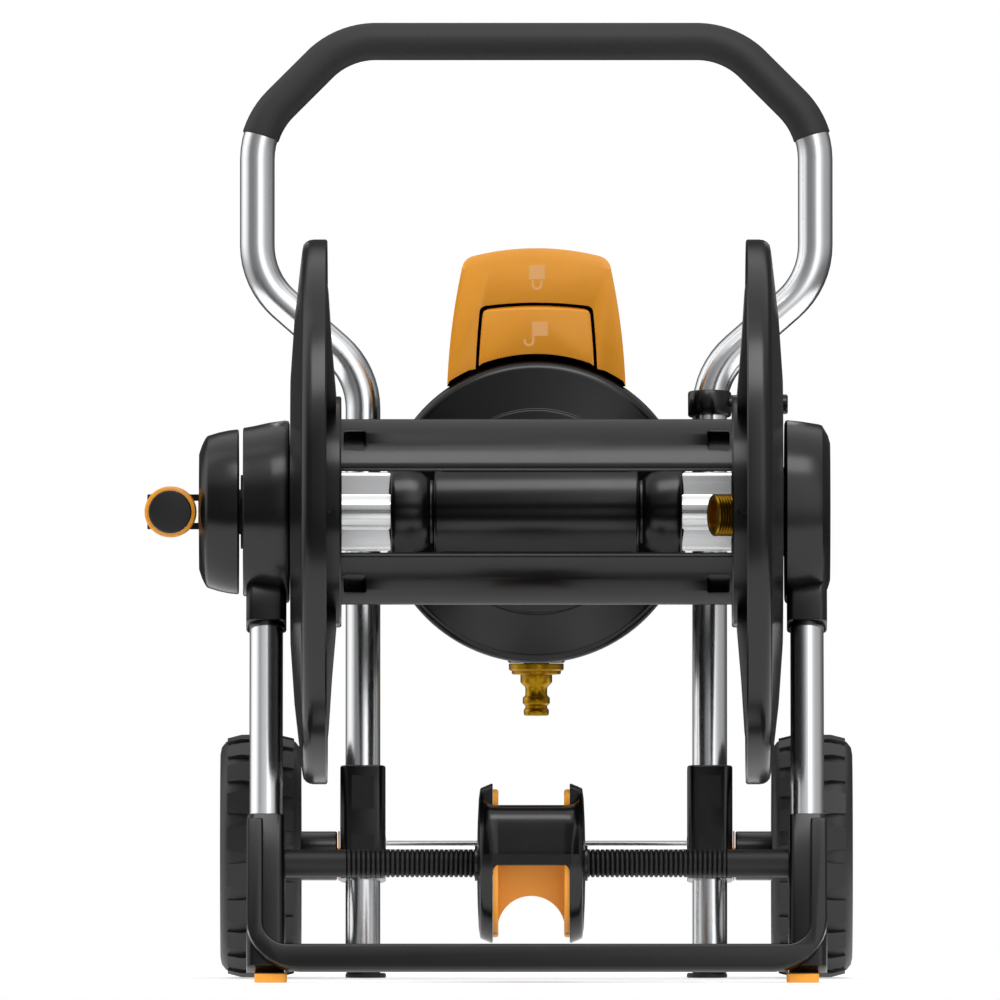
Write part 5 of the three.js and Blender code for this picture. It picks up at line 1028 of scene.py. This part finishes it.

# ---- Studio ---------------------------------------------------------------------------------
# A small pale floor, a white backdrop that only the camera sees, and one soft panel above the front.
pale_floor, shader = surface("pale_studio_floor", {"Base Color": hex_colour("#f4f4f4"), "Roughness": 0.7, "Emission Color": (1, 1, 1, 1), "Emission Strength": 0.45})
where = add(pale_floor, "TexCoord", {}, {})
mottle = add(pale_floor, "TexNoise", {}, {"Vector": (where, "Object"), "Scale": 3.0, "Detail": 2.0})
tone = add(pale_floor, "MixRGB", {}, {"Fac": (mottle, "Fac"), "Color1": hex_colour("#f2f2f2"), "Color2": hex_colour("#f8f8f8")})
join(pale_floor, tone, "Color", shader, "Base Color")
bm = bmesh.new()
bmesh.ops.create_grid(bm, x_segments=4, y_segments=4, size=0.5, matrix=Matrix.Diagonal((2.4, 1.5, 1, 1)))
mesh = bpy.data.meshes.new("floor")
bm.to_mesh(mesh)
bm.free()
mesh.materials.append(pale_floor)
floor = bpy.data.objects.new("floor", mesh)
floor.location = (0, -0.15, -0.0002)
bpy.context.scene.collection.objects.link(floor)

world = bpy.data.worlds.new("white_studio")
bpy.context.scene.world = world
world.use_nodes = True
tree = world.node_tree
tree.nodes.clear()
sight = tree.nodes.new("ShaderNodeLightPath")
backdrop = tree.nodes.new("ShaderNodeBackground")
backdrop.inputs["Color"].default_value = (1, 1, 1, 1)
backdrop.inputs["Strength"].default_value = 1.0
either = tree.nodes.new("ShaderNodeMixShader")
out = tree.nodes.new("ShaderNodeOutputWorld")
sky = tree.nodes.new("ShaderNodeTexCoord")
heading = tree.nodes.new("ShaderNodeTexGradient")
heading.gradient_type = "RADIAL"
tree.links.new(sky.outputs["Generated"], heading.inputs["Vector"])
parts = tree.nodes.new("ShaderNodeSeparateXYZ")
tree.links.new(sky.outputs["Generated"], parts.inputs["Vector"])


def ramp(source, stops):
    """A grey ramp: pairs of place and brightness."""
    node = tree.nodes.new("ShaderNodeValToRGB")
    band = node.color_ramp
    band.elements[0].position, band.elements[1].position = stops[0][0], stops[-1][0]
    for place, _ in stops[1:-1]:
        band.elements.new(place)
    for element, (_, value) in zip(band.elements, stops):
        element.color = (value, value, value, 1)
    tree.links.new(source, node.inputs["Fac"])
    return node


# Round the studio by heading: 0.25 is in front of the cart and 0.5 is at its right. The soft
# box in front stands a little to the right, and dark flags stand at its left.
round_about = ramp(heading.outputs["Fac"], [
    (0.0, 0.9), (0.045, 0.62), (0.10, 0.16), (0.17, 0.15), (0.235, 0.24), (0.262, 0.45), (0.285, 0.95), (0.33, 1.0),
    (0.375, 0.5), (0.43, 0.32), (0.53, 0.26), (0.60, 0.1), (0.68, 0.05), (0.84, 0.05), (0.9, 0.6), (0.95, 0.9), (1.0, 0.9),
])
climb = tree.nodes.new("ShaderNodeMapRange")
climb.inputs["From Min"].default_value = -1.0
tree.links.new(parts.outputs["Z"], climb.inputs["Value"])
upwards = ramp(climb.outputs["Result"], [(0.0, 0.2), (0.44, 0.4), (0.54, 0.85), (0.7, 1.0), (1.0, 1.0)])
both = tree.nodes.new("ShaderNodeMixRGB")
both.blend_type = "MULTIPLY"
both.inputs["Fac"].default_value = 1.0
tree.links.new(round_about.outputs["Color"], both.inputs["Color1"])
tree.links.new(upwards.outputs["Color"], both.inputs["Color2"])
overhead = ramp(climb.outputs["Result"], [(0.0, 0.0), (0.72, 0.0), (0.86, 0.55), (1.0, 0.6)])
brighter = tree.nodes.new("ShaderNodeMixRGB")
brighter.blend_type = "LIGHTEN"
brighter.inputs["Fac"].default_value = 1.0
tree.links.new(both.outputs["Color"], brighter.inputs["Color1"])
tree.links.new(overhead.outputs["Color"], brighter.inputs["Color2"])
fill = tree.nodes.new("ShaderNodeBackground")
fill.inputs["Strength"].default_value = 1.75
tree.links.new(brighter.outputs["Color"], fill.inputs["Color"])
tree.links.new(sight.outputs["Is Camera Ray"], either.inputs["Fac"])
tree.links.new(fill.outputs["Background"], either.inputs[1])
tree.links.new(backdrop.outputs["Background"], either.inputs[2])
tree.links.new(either.outputs["Shader"], out.inputs["Surface"])


def panel(name, place, aim, width, height, power):
    """A soft light panel at a place, facing a point."""
    light = bpy.data.lights.new(name, "AREA")
    light.shape, light.size, light.size_y, light.energy = "RECTANGLE", width, height, power
    obj = bpy.data.objects.new(name, light)
    obj.location = place
    obj.rotation_euler = (Vector(aim) - Vector(place)).to_track_quat("-Z", "Y").to_euler()
    bpy.context.scene.collection.objects.link(obj)


panel("panel_top", (0.1, -0.9, 1.9), (0, 0, 0.3), 1.4, 0.7, 12)

# The photograph is a square front view without perspective, 625 mm across at the middle of the
# cart's depth, so the lens is long and the camera stands far away.
VIEW = 0.625
DISTANCE = 29.0
FOCUS_Y = 0.1
camera = bpy.data.cameras.new("camera")
camera.sensor_width = 36.0
camera.lens = 36.0 * DISTANCE / VIEW
obj = bpy.data.objects.new("camera", camera)
photo_middle = Vector((MIDDLE.x - 0.0228, 0, 0.2994))
obj.location = photo_middle + Vector((0, MIDDLE.y + FOCUS_Y - DISTANCE, 0))
obj.rotation_euler = (pi / 2, 0, 0)
bpy.context.scene.collection.objects.link(obj)
bpy.context.scene.camera = obj
bpy.context.scene.view_settings.view_transform = "Standard"
